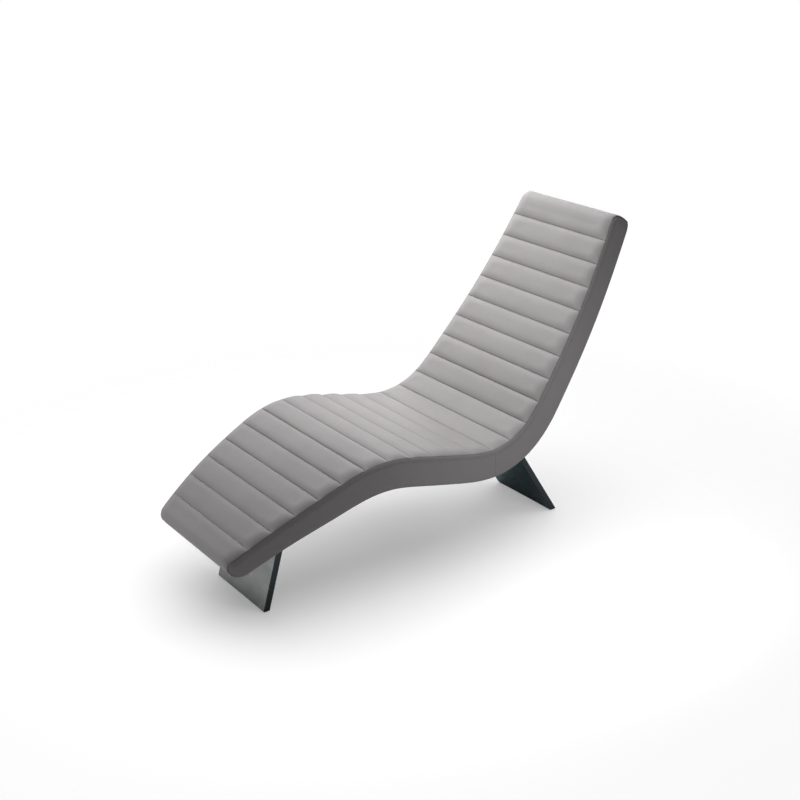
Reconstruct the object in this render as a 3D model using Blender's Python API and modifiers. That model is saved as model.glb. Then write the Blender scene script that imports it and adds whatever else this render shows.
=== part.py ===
"""A fixed chaise longue: one S-shaped upholstered slab, quilted across, on two leaning plate legs.

Metres, +Z up. X runs across the chaise, +Y towards the head end and -Y towards the foot end, and the
origin is on the floor under the middle of the chaise. Left and right are those of someone lying on it.
Along the slab, a place is given by its distance s from the head end, measured on the top edge seam,
and by its depth d under that seam, square to it.
"""
import math

import bmesh
import bpy
from mathutils import Matrix, Vector

# Side profile of the top edge seam, from the head end to the foot end: slopes fall towards the foot
HEAD_HEIGHT = 1.026
HEAD_ANGLE = 62.0
BACK_RUN = 0.607
BACK_ANGLE = 51.5
SEAT_BEND_RUN = 0.37
SEAT_ANGLE = -12.5
SEAT_RUN = 0.16
KNEE_BEND_RUN = 0.32
SHIN_ANGLE = 24.5
SHIN_RUN = 0.36
FOOT_ANGLE = 33.0

# Plan of the slab, over its side bands
SEAT_WIDTH = 0.618
HEAD_WIDTH = 0.434
FOOT_WIDTH = 0.422
WIDEST_PAST_BACK = 0.400
TAPER_BLEND = 0.24
FOOT_TAPER_POWER = 2.3

# Thickness of the slab, and the rounding of its two ends
HEAD_THICKNESS = 0.077
SEAT_THICKNESS = 0.0905
FOOT_THICKNESS = 0.065
FULL_PAST_BACK = 0.200
THINS_PAST_KNEE = 0.150
TOP_RADIUS = 0.016
HEAD_BACK_RADIUS = 0.013
FOOT_UNDER_RADIUS = 0.034

# Quilted cover: cross seams, crowned channels, and the laps that wrap under both ends
CROSS_SEAMS = 22
HEAD_CHANNEL = 0.085
FOOT_CHANNEL = 0.079
CHANNEL_CROWN = 0.008
NOSE_CROWN = 0.001
CROWN_POWER = 2.4
EDGE_CROWN_SHARE = 0.45
SHOULDER_CROWN_SHARE = 0.90
SHOULDER_INSET = 0.045
COVER_THICKNESS = 0.012
HEAD_LAP = 0.055
FOOT_LAP = 0.060

# Plain leather bands on both sides, with one join each, and the plain cover under the slab
BAND_THICKNESS = 0.003
BAND_JOIN_PAST_BACK = 0.259
UNDERSIDE_THICKNESS = 0.003

# Foam, in blocks of different firmness, and the padding on the sides of the rails
LEAST_LOWER_FOAM = 0.007
SIDE_PADDING = 0.008
FOAM_END_CLEARANCE = 0.004
SEAT_FOAM_PAST_BACK = 0.020
SHIN_FOAM_PAST_KNEE = 0.170

# Steel frame: two bent side rails, cross tubes and elastic straps
RAIL_WIDTH = 0.030
RAIL_HEIGHT = 0.020
RAIL_WALL = 0.002
RAIL_END_CLEARANCE = 0.014
TUBE_INSET = 0.001
TUBE_WALL = 0.0015
TUBE_SIDES = 12
END_TUBE_INSET = 0.016
LEG_TUBE_OFFSET = 0.13
STRAP_COUNT = 14
STRAP_WIDTH = 0.060
STRAP_THICKNESS = 0.0018
STRAP_END_INSET = 0.002
END_STRAP_INSET = 0.110

# Legs: a bracket inside the slab, a bolted flange under it, and a leaning hollow plate on a floor strip
REAR_LEG_PAST_BACK = 0.122
REAR_LEG_LEAN = 33.0
FRONT_LEG_FROM_FOOT = 0.235
FRONT_LEG_LEAN = -15.6
LEG_WIDTH = 0.277
LEG_THICKNESS = 0.020
LEG_WALL = 0.003
LEG_EDGE = 0.001
FLANGE_END_INSET = 0.0385
FLANGE_THICKNESS = 0.006
FLANGE_CORNER = 0.008
BRACKET_THICKNESS = 0.005
BRACKET_DROP = 0.003
BRACKET_EDGE = 0.008
BRACKET_WINDOW = 0.010
BOLT_RADIUS = 0.004
BOLT_HOLE_CLEARANCE = 0.0005
BOLT_HEAD_RADIUS = 0.007
BOLT_HEAD_HEIGHT = 0.0045
BOLT_SOCKET_RADIUS = 0.0025
BOLT_SOCKET_DEPTH = 0.0025
BOLT_PROTRUSION = 0.003
BOLT_PLATE_CLEARANCE = 0.003
BOLT_FLANGE_EDGE = 0.012
BOLT_FLANGE_END = 0.025
BOLT_STEPS = 12
STRIP_HEIGHT = 0.002
STRIP_INSET = 0.003

# Clearances: between layers, and between faces that bend both ways
GAP = 0.0003
SIDE_GAP = 0.0006

# Fineness of the facets
FACETS_PER_CHANNEL = 3
FINE_PER_FACET = 2
END_ARC_STEPS = 5
PROFILE_STEP = 0.002
HOLE_SIDES = 12
MIN_FACET = 0.006

LEFT, RIGHT = 1, -1
ACROSS = Vector((1, 0, 0))
RUNS = (
    (BACK_RUN, BACK_ANGLE),
    (SEAT_BEND_RUN, SEAT_ANGLE),
    (SEAT_RUN, SEAT_ANGLE),
    (KNEE_BEND_RUN, SHIN_ANGLE),
    (SHIN_RUN, FOOT_ANGLE),
)
LENGTH = sum(run for run, angle in RUNS)
PITCH = (LENGTH - HEAD_CHANNEL - FOOT_CHANNEL) / (CROSS_SEAMS - 1)
SEAMS = [HEAD_CHANNEL + PITCH * i for i in range(CROSS_SEAMS)]

# Places along the slab: the back ends where the seat bends, and the knee bend follows the seat
KNEE_BEND_FROM = BACK_RUN + SEAT_BEND_RUN + SEAT_RUN
WIDEST_AT = BACK_RUN + WIDEST_PAST_BACK
THICK_FROM = BACK_RUN + FULL_PAST_BACK
THICK_TO = KNEE_BEND_FROM + THINS_PAST_KNEE
BAND_JOIN_AT = BACK_RUN + BAND_JOIN_PAST_BACK
FOAM_END = TOP_RADIUS + FOAM_END_CLEARANCE
SEAT_FOAM_FROM = BACK_RUN + SEAT_FOAM_PAST_BACK
SEAT_FOAM_TO = KNEE_BEND_FROM + SHIN_FOAM_PAST_KNEE
RAIL_FROM = TOP_RADIUS + RAIL_END_CLEARANCE
RAIL_TO = LENGTH - FOOT_UNDER_RADIUS
REAR_LEG_AT = BACK_RUN + REAR_LEG_PAST_BACK
FRONT_LEG_AT = LENGTH - FRONT_LEG_FROM_FOOT

# Depths of the layers under the top edge seam: the slab's thinner end sets how deep the frame lies
RAIL_BOTTOM = min(HEAD_THICKNESS, FOOT_THICKNESS) - UNDERSIDE_THICKNESS - LEAST_LOWER_FOAM - 2 * GAP
RAIL_TOP = RAIL_BOTTOM - RAIL_HEIGHT
STRAP_BOTTOM = RAIL_TOP - GAP
STRAP_TOP = STRAP_BOTTOM - STRAP_THICKNESS
FOAM_BOTTOM = STRAP_TOP - GAP
FOAM_TOP = COVER_THICKNESS + GAP
TUBE_RADIUS = RAIL_HEIGHT / 2 - TUBE_INSET

# Insets of the layers from the outer face of a side band
BODY_INSET = BAND_THICKNESS + SIDE_GAP
CORE_INSET = BODY_INSET + SIDE_PADDING + SIDE_GAP
RAIL_INNER_INSET = CORE_INSET + RAIL_WIDTH


# Shape of the slab
def smooth(t):
    """Ease from 0 to 1."""
    t = min(max(t, 0.0), 1.0)
    return t * t * (3 - 2 * t)


def slope(s):
    """Slope of the top edge seam at s, in radians, easing from the end of one run to the next."""
    angle, start, before = HEAD_ANGLE, 0.0, HEAD_ANGLE
    for run, after in RUNS:
        angle += (after - before) * smooth((s - start) / run)
        start += run
        before = after
    return math.radians(angle)


def half_width(s):
    """Half the width at s: straight sides drawn in to the head, curved sides drawn in to the foot."""
    away = abs(s - WIDEST_AT)
    if s < WIDEST_AT:
        drawn = math.hypot(away, TAPER_BLEND) - TAPER_BLEND
        share = drawn / (math.hypot(WIDEST_AT, TAPER_BLEND) - TAPER_BLEND)
        return (SEAT_WIDTH - (SEAT_WIDTH - HEAD_WIDTH) * share) / 2
    share = (away / (LENGTH - WIDEST_AT)) ** FOOT_TAPER_POWER
    return (SEAT_WIDTH - (SEAT_WIDTH - FOOT_WIDTH) * share) / 2


def thickness(s):
    """Thickness of the slab at s: even under the seat and thinner towards both ends."""
    if s < THICK_FROM:
        return HEAD_THICKNESS + (SEAT_THICKNESS - HEAD_THICKNESS) * smooth(s / THICK_FROM)
    thinned = smooth((s - THICK_TO) / (LENGTH - THICK_TO))
    return SEAT_THICKNESS + (FOOT_THICKNESS - SEAT_THICKNESS) * thinned


def facet_stations():
    """Every s where the facets meet: an even share of each channel, and the middle of each leg."""
    edges = [0.0, *SEAMS, LENGTH]
    stations = [REAR_LEG_AT, FRONT_LEG_AT]
    for low, high in zip(edges, edges[1:]):
        for i in range(FACETS_PER_CHANNEL):
            s = low + (high - low) * i / FACETS_PER_CHANNEL
            if all(abs(s - leg) > MIN_FACET for leg in (REAR_LEG_AT, FRONT_LEG_AT)):
                stations.append(s)
    return sorted([*stations, LENGTH])


def walk_profile(stations):
    """The top edge seam's points at the stations, walked in short steps from the head end."""
    y, z, at, points = 0.0, HEAD_HEIGHT, 0.0, []
    for s in stations:
        steps = max(1, math.ceil((s - at) / PROFILE_STEP))
        step = (s - at) / steps
        for i in range(steps):
            angle = slope(at + (i + 0.5) * step)
            y -= math.cos(angle) * step
            z -= math.sin(angle) * step
        at = s
        points.append(Vector((0, y, z)))
    return points


STATIONS = facet_stations()
POINTS = walk_profile(STATIONS)
NORMALS = [Vector((0, math.sin(slope(s)), -math.cos(slope(s)))) for s in STATIONS]
HALF_WIDTHS = [half_width(s) for s in STATIONS]
THICKNESSES = [thickness(s) for s in STATIONS]


def along(s):
    """Point, downward normal, half width and thickness at s, straight between two stations."""
    inside = min(max(s, 0.0), LENGTH)
    k = max(i for i in range(len(STATIONS) - 1) if STATIONS[i] <= inside)
    t = (inside - STATIONS[k]) / (STATIONS[k + 1] - STATIONS[k])
    point = POINTS[k].lerp(POINTS[k + 1], t)
    point += (POINTS[k + 1] - POINTS[k]).normalized() * (s - inside)
    normal = NORMALS[k].lerp(NORMALS[k + 1], t)
    wide = HALF_WIDTHS[k] + (HALF_WIDTHS[k + 1] - HALF_WIDTHS[k]) * t
    thick = THICKNESSES[k] + (THICKNESSES[k + 1] - THICKNESSES[k]) * t
    return point, normal, wide, thick


def place(s, d, x=0.0):
    """The point at s along the slab, d under its top edge seam and x across."""
    point, normal, wide, thick = along(s)
    return point + normal * d + ACROSS * x


def stations_between(low, high):
    """The facet stations from low to high, with both ends."""
    inner = [s for s in STATIONS if low + GAP < s < high - GAP]
    return [low, *inner, high]


# Sizes of a leg's fixing, set by the room that the bolt heads need beside the leaning plate
def plate_reach(s, lean):
    """How far a leg's plate reaches along the slab from its middle, up to the height of the bolt heads."""
    slant = slope(s) - math.radians(lean)
    return LEG_THICKNESS / 2 / math.cos(slant) + BOLT_HEAD_HEIGHT * abs(math.tan(slant))


WIDEST_PLATE_REACH = max(plate_reach(REAR_LEG_AT, REAR_LEG_LEAN), plate_reach(FRONT_LEG_AT, FRONT_LEG_LEAN))
BOLT_SPACING_S = 2 * (WIDEST_PLATE_REACH + BOLT_PLATE_CLEARANCE + BOLT_HEAD_RADIUS)
BOLT_HOLE_RADIUS = BOLT_RADIUS + BOLT_HOLE_CLEARANCE
FLANGE_LENGTH = BOLT_SPACING_S + 2 * BOLT_FLANGE_EDGE
FLANGE_WIDTH = LEG_WIDTH - 2 * FLANGE_END_INSET
BOLT_SPACING_X = FLANGE_WIDTH - 2 * BOLT_FLANGE_END
BRACKET_LENGTH = BOLT_SPACING_S + 2 * BRACKET_EDGE


# Quilted cover's path round the slab, as places (s, d) with their outward directions
def corner(centre_s, centre_d, radius, first, last):
    """Points of a rounded end from one angle to another, in degrees."""
    for i in range(END_ARC_STEPS + 1):
        angle = math.radians(first + (last - first) * i / END_ARC_STEPS)
        out = (math.cos(angle), math.sin(angle))
        yield centre_s + radius * out[0], centre_d + radius * out[1], out


def cover_path():
    """The head lap and nose, the top with its channels, and the foot nose and lap, in three lists."""
    head_d = thickness(0.0)
    foot_d = thickness(LENGTH)
    head = [(HEAD_LAP, thickness(HEAD_LAP), (0.0, 1.0))]
    head += corner(HEAD_BACK_RADIUS, head_d - HEAD_BACK_RADIUS, HEAD_BACK_RADIUS, 90, 180)
    head += corner(TOP_RADIUS, TOP_RADIUS, TOP_RADIUS, 180, 270)
    foot = list(corner(LENGTH - TOP_RADIUS, TOP_RADIUS, TOP_RADIUS, 270, 360))
    foot += corner(LENGTH - FOOT_UNDER_RADIUS, foot_d - FOOT_UNDER_RADIUS, FOOT_UNDER_RADIUS, 0, 90)
    foot.append((LENGTH - FOOT_LAP, thickness(LENGTH - FOOT_LAP), (0.0, 1.0)))
    top = []
    for low, high in zip(STATIONS, STATIONS[1:]):
        for i in range(FINE_PER_FACET):
            s = low + (high - low) * i / FINE_PER_FACET
            if TOP_RADIUS + GAP < s < LENGTH - TOP_RADIUS - GAP:
                top.append((s, 0.0, (0.0, -1.0)))
    return head, top, foot


def crown(s):
    """Height of the quilting over the seams at s; the end channels stay full up to the noses."""
    if s < SEAMS[0]:
        t = min((SEAMS[0] - s) / HEAD_CHANNEL, 0.5)
    elif s > SEAMS[-1]:
        t = min((s - SEAMS[-1]) / FOOT_CHANNEL, 0.5)
    else:
        t = (s - SEAMS[0]) / PITCH % 1.0
    return CHANNEL_CROWN * (1 - abs(2 * t - 1) ** CROWN_POWER)


def nose_crown(out):
    """Height of the padding round a nose, which thins out where the nose faces along the slab."""
    return CHANNEL_CROWN + (NOSE_CROWN - CHANNEL_CROWN) * abs(out[0])


def cover_profile():
    """The cover's path with its crown and its thickness at each place; it thins out along both laps."""
    head, top, foot = cover_path()
    rows = [(*spot, nose_crown(spot[2]), i / len(head)) for i, spot in enumerate(head)]
    rows += [(*spot, crown(spot[0]), 1.0) for spot in top]
    rows += [(*spot, nose_crown(spot[2]), 1 - (i + 1) / len(foot)) for i, spot in enumerate(foot)]
    padding = COVER_THICKNESS - UNDERSIDE_THICKNESS
    return [(s, d, out, rise * full, UNDERSIDE_THICKNESS + padding * full) for s, d, out, rise, full in rows]


def centre_on_floor():
    """Slide the profile along Y until the chaise is as long before the origin as behind it."""
    reach = [place(s + out[0] * rise, d + out[1] * rise).y for s, d, out, rise, thick in cover_profile()]
    shift = Vector((0, -(min(reach) + max(reach)) / 2, 0))
    for point in POINTS:
        point += shift


# Building tools
def clear_scene():
    """Empty the file, and make one collection for the parts and one for the cutters."""
    for old in list(bpy.data.objects):
        bpy.data.objects.remove(old, do_unlink=True)
    for name in ("chaise_longue", "cutters"):
        collection = bpy.data.collections.new(name)
        bpy.context.scene.collection.children.link(collection)
        COLLECTIONS[name] = collection


COLLECTIONS = {}
FINISHES = {
    "quilted leather": ((0.33, 0.315, 0.31), 0.48, 0.0),
    "plain leather": ((0.30, 0.287, 0.282), 0.50, 0.0),
    "foam": ((0.78, 0.74, 0.62), 0.95, 0.0),
    "soft foam": ((0.70, 0.74, 0.78), 0.95, 0.0),
    "webbing": ((0.08, 0.08, 0.085), 0.90, 0.0),
    "frame steel": ((0.10, 0.10, 0.105), 0.45, 0.6),
    "leg metal": ((0.17, 0.185, 0.19), 0.22, 1.0),
    "bolt steel": ((0.05, 0.05, 0.055), 0.40, 0.8),
    "floor felt": ((0.06, 0.06, 0.06), 0.95, 0.0),
}


def finish(name):
    """The named material, made once from its colour, roughness and metallic value."""
    material = bpy.data.materials.get(name)
    if material is None:
        colour, roughness, metallic = FINISHES[name]
        material = bpy.data.materials.new(name)
        material.use_nodes = True
        shader = material.node_tree.nodes["Principled BSDF"]
        shader.inputs["Base Color"].default_value = (*colour, 1)
        shader.inputs["Roughness"].default_value = roughness
        shader.inputs["Metallic"].default_value = metallic
        material.diffuse_color = (*colour, 1)
    return material


def add_part(name, mesh, material):
    """A named part in the chaise's collection."""
    mesh.materials.clear()
    mesh.materials.append(finish(material))
    mesh.shade_smooth()
    mesh.set_sharp_from_angle(angle=math.radians(30))
    part = bpy.data.objects.new(name, mesh)
    COLLECTIONS["chaise_longue"].objects.link(part)
    return part


def mesh_from(name, shape):
    """A mesh from a bmesh, with its faces turned outwards."""
    bmesh.ops.recalc_face_normals(shape, faces=shape.faces)
    mesh = bpy.data.meshes.new(name)
    shape.to_mesh(mesh)
    shape.free()
    return mesh


def skin(shape, rings):
    """Faces between each ring of points and the next."""
    for ring, after in zip(rings, rings[1:]):
        for i in range(len(ring)):
            j = (i + 1) % len(ring)
            shape.faces.new((ring[i], ring[j], after[j], after[i]))


def loft(name, rings, material, bores=None):
    """A closed body through unlike rings, solid or with an open bore through its own rings."""
    shape = bmesh.new()
    outer = [[shape.verts.new(point) for point in ring] for ring in rings]
    skin(shape, outer)
    if bores is None:
        shape.faces.new(outer[0])
        shape.faces.new(outer[-1])
    else:
        inner = [[shape.verts.new(point) for point in ring] for ring in bores]
        skin(shape, inner)
        skin(shape, [outer[0], inner[0]])
        skin(shape, [outer[-1], inner[-1]])
    return add_part(name, mesh_from(name, shape), material)


def rectangle(x_low, x_high, d_top, d_bottom):
    """The corners of a rectangular section across the slab, as (x, d)."""
    return [(x_low, d_top), (x_high, d_top), (x_high, d_bottom), (x_low, d_bottom)]


def rings_along(stations, section):
    """The section's ring at each station."""
    return [[place(s, d, x) for x, d in section(s)] for s in stations]


def sweep(name, stations, section, material, bore=None):
    """A piece that follows the slab through its stations, with the section that a function gives."""
    bores = None if bore is None else rings_along(stations, bore)
    return loft(name, rings_along(stations, section), material, bores)


def across_section(inset, d_top, d_bottom):
    """A section from side to side, at an inset from the bands' outer faces."""
    def section(s):
        wide = along(s)[2] - inset
        return rectangle(-wide, wide, d_top(s), d_bottom(s))
    return section


def side_section(side, outer_inset, inner_inset, d_top, d_bottom):
    """A section on one side, between two insets from the band's outer face."""
    def section(s):
        wide = along(s)[2]
        return rectangle(side * (wide - inner_inset), side * (wide - outer_inset), d_top(s), d_bottom(s))
    return section


def level(d):
    """A depth that is the same all along."""
    return lambda s: d


def above_underside(height):
    """The depth at a height over the slab's underside."""
    return lambda s: along(s)[3] - height


def plate(name, outlines, thick, matrix, material):
    """A flat plate from closed outlines, the first one outside and the rest holes, as a welded mesh."""
    curve = bpy.data.curves.new(name, "CURVE")
    curve.dimensions = "2D"
    curve.fill_mode = "BOTH"
    curve.extrude = thick / 2
    for outline in outlines:
        spline = curve.splines.new("POLY")
        spline.points.add(len(outline) - 1)
        spline.use_cyclic_u = True
        for point, (x, y) in zip(spline.points, outline):
            point.co = (x, y, 0, 1)
    drawn = bpy.data.objects.new(name, curve)
    COLLECTIONS["cutters"].objects.link(drawn)
    drawn_now = drawn.evaluated_get(bpy.context.evaluated_depsgraph_get())
    shape = bmesh.new()
    shape.from_mesh(bpy.data.meshes.new_from_object(drawn_now))
    bpy.data.objects.remove(drawn, do_unlink=True)
    bmesh.ops.remove_doubles(shape, verts=shape.verts, dist=0.00001)
    part = add_part(name, mesh_from(name, shape), material)
    part.matrix_world = matrix
    return part


def circle(x, y, radius):
    """A round outline."""
    turns = [2 * math.pi * i / HOLE_SIDES for i in range(HOLE_SIDES)]
    return [(x + radius * math.cos(a), y + radius * math.sin(a)) for a in turns]


def rounded_rectangle(width, length, radius):
    """A rectangular outline with round corners."""
    points = []
    for i, (sx, sy) in enumerate(((1, 1), (-1, 1), (-1, -1), (1, -1))):
        for step in range(END_ARC_STEPS + 1):
            a = math.radians(90 * i + 90 * step / END_ARC_STEPS)
            x = sx * (width / 2 - radius) + radius * math.cos(a)
            y = sy * (length / 2 - radius) + radius * math.sin(a)
            points.append((x, y))
    return points


def cut(part, cutter):
    """Take the cutter's shape out of the part."""
    boolean = part.modifiers.new("holes", "BOOLEAN")
    boolean.operation = "DIFFERENCE"
    boolean.object = cutter


# Upholstery
def quilted_cover():
    """The padded top with its cross channels, wrapped round both ends and sewn under them."""
    rings = []
    for s, d, out, rise, thick in cover_profile():
        wide = along(s)[2] - BODY_INSET
        shoulder = wide - SHOULDER_INSET
        ring = []
        for x, share in (
            (-wide, EDGE_CROWN_SHARE),
            (-shoulder, SHOULDER_CROWN_SHARE),
            (0.0, 1.0),
            (shoulder, SHOULDER_CROWN_SHARE),
            (wide, EDGE_CROWN_SHARE),
        ):
            ring.append(place(s + out[0] * rise * share, d + out[1] * rise * share, x))
        for x in (wide, -wide):
            ring.append(place(s - out[0] * thick, d - out[1] * thick, x))
        rings.append(ring)
    loft("quilted_cover", rings, "quilted leather")


def round_end(reach, radius):
    """How far a round corner has drawn back from its straight edge, a short reach from the end."""
    if reach >= radius:
        return 0.0
    return radius - math.sqrt(radius ** 2 - (radius - reach) ** 2)


def band_top(s):
    """Depth of a band's upper edge, rounded at both ends."""
    return round_end(min(s, LENGTH - s), TOP_RADIUS)


def band_bottom(s):
    """Depth of a band's lower edge, rounded at both ends."""
    drawn = max(round_end(s, HEAD_BACK_RADIUS), round_end(LENGTH - s, FOOT_UNDER_RADIUS))
    return along(s)[3] - drawn


def end_stations(radius):
    """Distances from an end at which its round corner gets a point."""
    angles = [math.radians(90 * i / END_ARC_STEPS) for i in range(END_ARC_STEPS + 1)]
    return [radius * (1 - math.cos(a)) for a in angles]


def side_bands():
    """The plain leather sides, each in two lengths that join beside the seat."""
    head_ends = {*end_stations(TOP_RADIUS), *end_stations(HEAD_BACK_RADIUS)}
    foot_ends = {*end_stations(TOP_RADIUS), *end_stations(FOOT_UNDER_RADIUS)}
    back = {*head_ends, *stations_between(max(head_ends), BAND_JOIN_AT - GAP / 2)}
    seat = {LENGTH - s for s in foot_ends}
    seat.update(stations_between(BAND_JOIN_AT + GAP / 2, LENGTH - max(foot_ends)))
    for side, word in ((LEFT, "left"), (RIGHT, "right")):
        section = side_section(side, 0.0, BAND_THICKNESS, band_top, band_bottom)
        sweep(f"side_band_back_{word}", sorted(back), section, "plain leather")
        sweep(f"side_band_seat_{word}", sorted(seat), section, "plain leather")


def underside_cover():
    """The plain leather under the slab, between the laps of the quilted cover, pierced for the bolts."""
    stations = stations_between(HEAD_LAP + GAP, LENGTH - FOOT_LAP - GAP)
    section = across_section(BODY_INSET, above_underside(UNDERSIDE_THICKNESS), above_underside(0.0))
    return sweep("underside_cover", stations, section, "plain leather")


def foam_blocks():
    """Upper foam on the straps, lower foam under the frame around the brackets, and side padding."""
    section = across_section(CORE_INSET, level(FOAM_TOP), level(FOAM_BOTTOM))
    cuts = (FOAM_END, SEAT_FOAM_FROM, SEAT_FOAM_TO, LENGTH - FOAM_END)
    for word, low, high in zip(("back", "seat", "shin"), cuts, cuts[1:]):
        stations = stations_between(low + GAP / 2, high - GAP / 2)
        sweep(f"upper_foam_{word}", stations, section, "soft foam")
    under = above_underside(UNDERSIDE_THICKNESS + GAP)
    section = across_section(BODY_INSET, level(RAIL_BOTTOM + GAP), under)
    window = BRACKET_LENGTH / 2 + BRACKET_WINDOW
    ends = (
        ("back", HEAD_LAP + GAP, REAR_LEG_AT - window),
        ("seat", REAR_LEG_AT + window, FRONT_LEG_AT - window),
        ("shin", FRONT_LEG_AT + window, LENGTH - FOOT_LAP - GAP),
    )
    for word, low, high in ends:
        sweep(f"lower_foam_{word}", stations_between(low, high), section, "foam")
    for side, word in ((LEFT, "left"), (RIGHT, "right")):
        inner = BODY_INSET + SIDE_PADDING
        section = side_section(side, BODY_INSET, inner, level(FOAM_TOP), level(RAIL_BOTTOM))
        sweep(f"side_padding_{word}", stations_between(RAIL_FROM, RAIL_TO), section, "soft foam")


# Steel frame
def side_rails():
    """The two bent rectangular tubes that give the slab its line, open at their ends."""
    for side, word in ((LEFT, "left"), (RIGHT, "right")):
        section = side_section(side, CORE_INSET, RAIL_INNER_INSET, level(RAIL_TOP), level(RAIL_BOTTOM))
        bore = side_section(
            side,
            CORE_INSET + RAIL_WALL,
            RAIL_INNER_INSET - RAIL_WALL,
            level(RAIL_TOP + RAIL_WALL),
            level(RAIL_BOTTOM - RAIL_WALL),
        )
        sweep(f"side_rail_{word}", stations_between(RAIL_FROM, RAIL_TO), section, "frame steel", bore)


def inside_rails(low, high):
    """The widest half width that clears both rails from low to high."""
    return min(along(s)[2] for s in stations_between(low, high)) - RAIL_INNER_INSET - GAP


def cross_tubes():
    """The round tubes welded between the rails."""
    places = (
        ("head", RAIL_FROM + END_TUBE_INSET),
        ("back", BACK_RUN / 2),
        ("lumbar", REAR_LEG_AT - LEG_TUBE_OFFSET),
        ("seat", REAR_LEG_AT + LEG_TUBE_OFFSET),
        ("knee", KNEE_BEND_FROM),
        ("shin", FRONT_LEG_AT - LEG_TUBE_OFFSET),
        ("foot", RAIL_TO - END_TUBE_INSET),
    )
    for word, s in places:
        reach = inside_rails(s - TUBE_RADIUS, s + TUBE_RADIUS)
        shape = bmesh.new()
        bmesh.ops.create_cone(
            shape,
            cap_ends=False,
            segments=TUBE_SIDES,
            radius1=TUBE_RADIUS,
            radius2=TUBE_RADIUS,
            depth=2 * reach,
        )
        bmesh.ops.rotate(shape, verts=shape.verts, matrix=Matrix.Rotation(math.pi / 2, 3, "Y"))
        tube = add_part(f"cross_tube_{word}", mesh_from(word, shape), "frame steel")
        tube.location = place(s, (RAIL_TOP + RAIL_BOTTOM) / 2)
        wall = tube.modifiers.new("wall", "SOLIDIFY")
        wall.thickness = TUBE_WALL
        wall.offset = -1


def elastic_straps():
    """The webbing stretched across the rails, under the upper foam."""
    section = across_section(CORE_INSET + STRAP_END_INSET, level(STRAP_TOP), level(STRAP_BOTTOM))
    pitch = (LENGTH - 2 * END_STRAP_INSET) / (STRAP_COUNT - 1)
    for i in range(STRAP_COUNT):
        middle = END_STRAP_INSET + pitch * i
        stations = stations_between(middle - STRAP_WIDTH / 2, middle + STRAP_WIDTH / 2)
        sweep(f"elastic_strap_{i + 1:02d}", stations, section, "webbing")


# Legs
def leg_frame(s):
    """Axes of a leg's fixing on the underside: X across, Y along to the foot, Z out of the slab."""
    point, normal, wide, thick = along(s)
    out = normal.normalized()
    frame = Matrix((ACROSS, out.cross(ACROSS), out)).transposed().to_4x4()
    frame.translation = point + normal * thick
    return frame


def layer_reach(s, length, depth):
    """How far out of the slab a layer at some depth lies over a fixing's length, at its least and most."""
    to_fixing = leg_frame(s).inverted()
    local = [to_fixing @ place(at, depth(at)) for at in STATIONS]
    near = [p.z for p in local if abs(p.y) <= length / 2 + PITCH / FACETS_PER_CHANNEL]
    return min(near), max(near)


def bolt_places():
    """The four bolts of a fixing."""
    for x in (-BOLT_SPACING_X / 2, BOLT_SPACING_X / 2):
        for y in (-BOLT_SPACING_S / 2, BOLT_SPACING_S / 2):
            yield x, y


def set_aside(cutter):
    """Keep an object as a cutter only."""
    for collection in list(cutter.users_collection):
        collection.objects.unlink(cutter)
    COLLECTIONS["cutters"].objects.link(cutter)
    cutter.hide_render = True
    cutter.display_type = "WIRE"
    return cutter


def bolt_hole_cutter(name, frame, reach):
    """Four round cutters along a fixing's bolts, reaching as far to both sides of the underside."""
    shape = bmesh.new()
    for x, y in bolt_places():
        bmesh.ops.create_cone(
            shape,
            cap_ends=True,
            segments=HOLE_SIDES,
            radius1=BOLT_HOLE_RADIUS,
            radius2=BOLT_HOLE_RADIUS,
            depth=2 * reach,
            matrix=Matrix.Translation((x, y, 0)),
        )
    cutter = bpy.data.objects.new(name, mesh_from(name, shape))
    cutter.matrix_world = frame
    return set_aside(cutter)


def leg_bracket(word, s, frame, base, cutter):
    """A bent steel channel between the rails, with its flat base just inside the underside cover."""
    half = inside_rails(s - BRACKET_LENGTH / 2 - MIN_FACET, s + BRACKET_LENGTH / 2 + MIN_FACET)
    top = layer_reach(s, BRACKET_LENGTH, level(RAIL_TOP))[1] + BRACKET_DROP
    inner = half - BRACKET_THICKNESS
    floor = base - BRACKET_THICKNESS
    outline = [
        (-half, base), (half, base), (half, top), (inner, top),
        (inner, floor), (-inner, floor), (-inner, top), (-half, top),
    ]
    upright = frame @ Matrix.Rotation(math.pi / 2, 4, "X")
    bracket = plate(f"leg_bracket_{word}", [outline], BRACKET_LENGTH, upright, "frame steel")
    cut(bracket, cutter)


def leg_bolt(name, frame, x, y, seat, length):
    """A button-head bolt with a socket, its head under the flange and its end through the bracket."""
    profile = [
        (0.0, BOLT_HEAD_HEIGHT - BOLT_SOCKET_DEPTH),
        (BOLT_SOCKET_RADIUS, BOLT_HEAD_HEIGHT - BOLT_SOCKET_DEPTH),
        (BOLT_SOCKET_RADIUS, BOLT_HEAD_HEIGHT),
        (BOLT_RADIUS, BOLT_HEAD_HEIGHT),
        (BOLT_HEAD_RADIUS, BOLT_HEAD_HEIGHT / 3),
        (BOLT_HEAD_RADIUS, 0.0),
        (BOLT_RADIUS, 0.0),
        (BOLT_RADIUS, -length),
        (0.0, -length),
    ]
    mesh = bpy.data.meshes.new(name)
    edges = [(i, i + 1) for i in range(len(profile) - 1)]
    mesh.from_pydata([(r, 0, z) for r, z in profile], edges, [])
    bolt = add_part(name, mesh, "bolt steel")
    bolt.matrix_world = frame @ Matrix.Translation((x, y, seat))
    turned = bolt.modifiers.new("turned", "SCREW")
    turned.steps = BOLT_STEPS
    turned.render_steps = BOLT_STEPS
    turned.use_merge_vertices = True
    turned.merge_threshold = 0.00001


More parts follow.
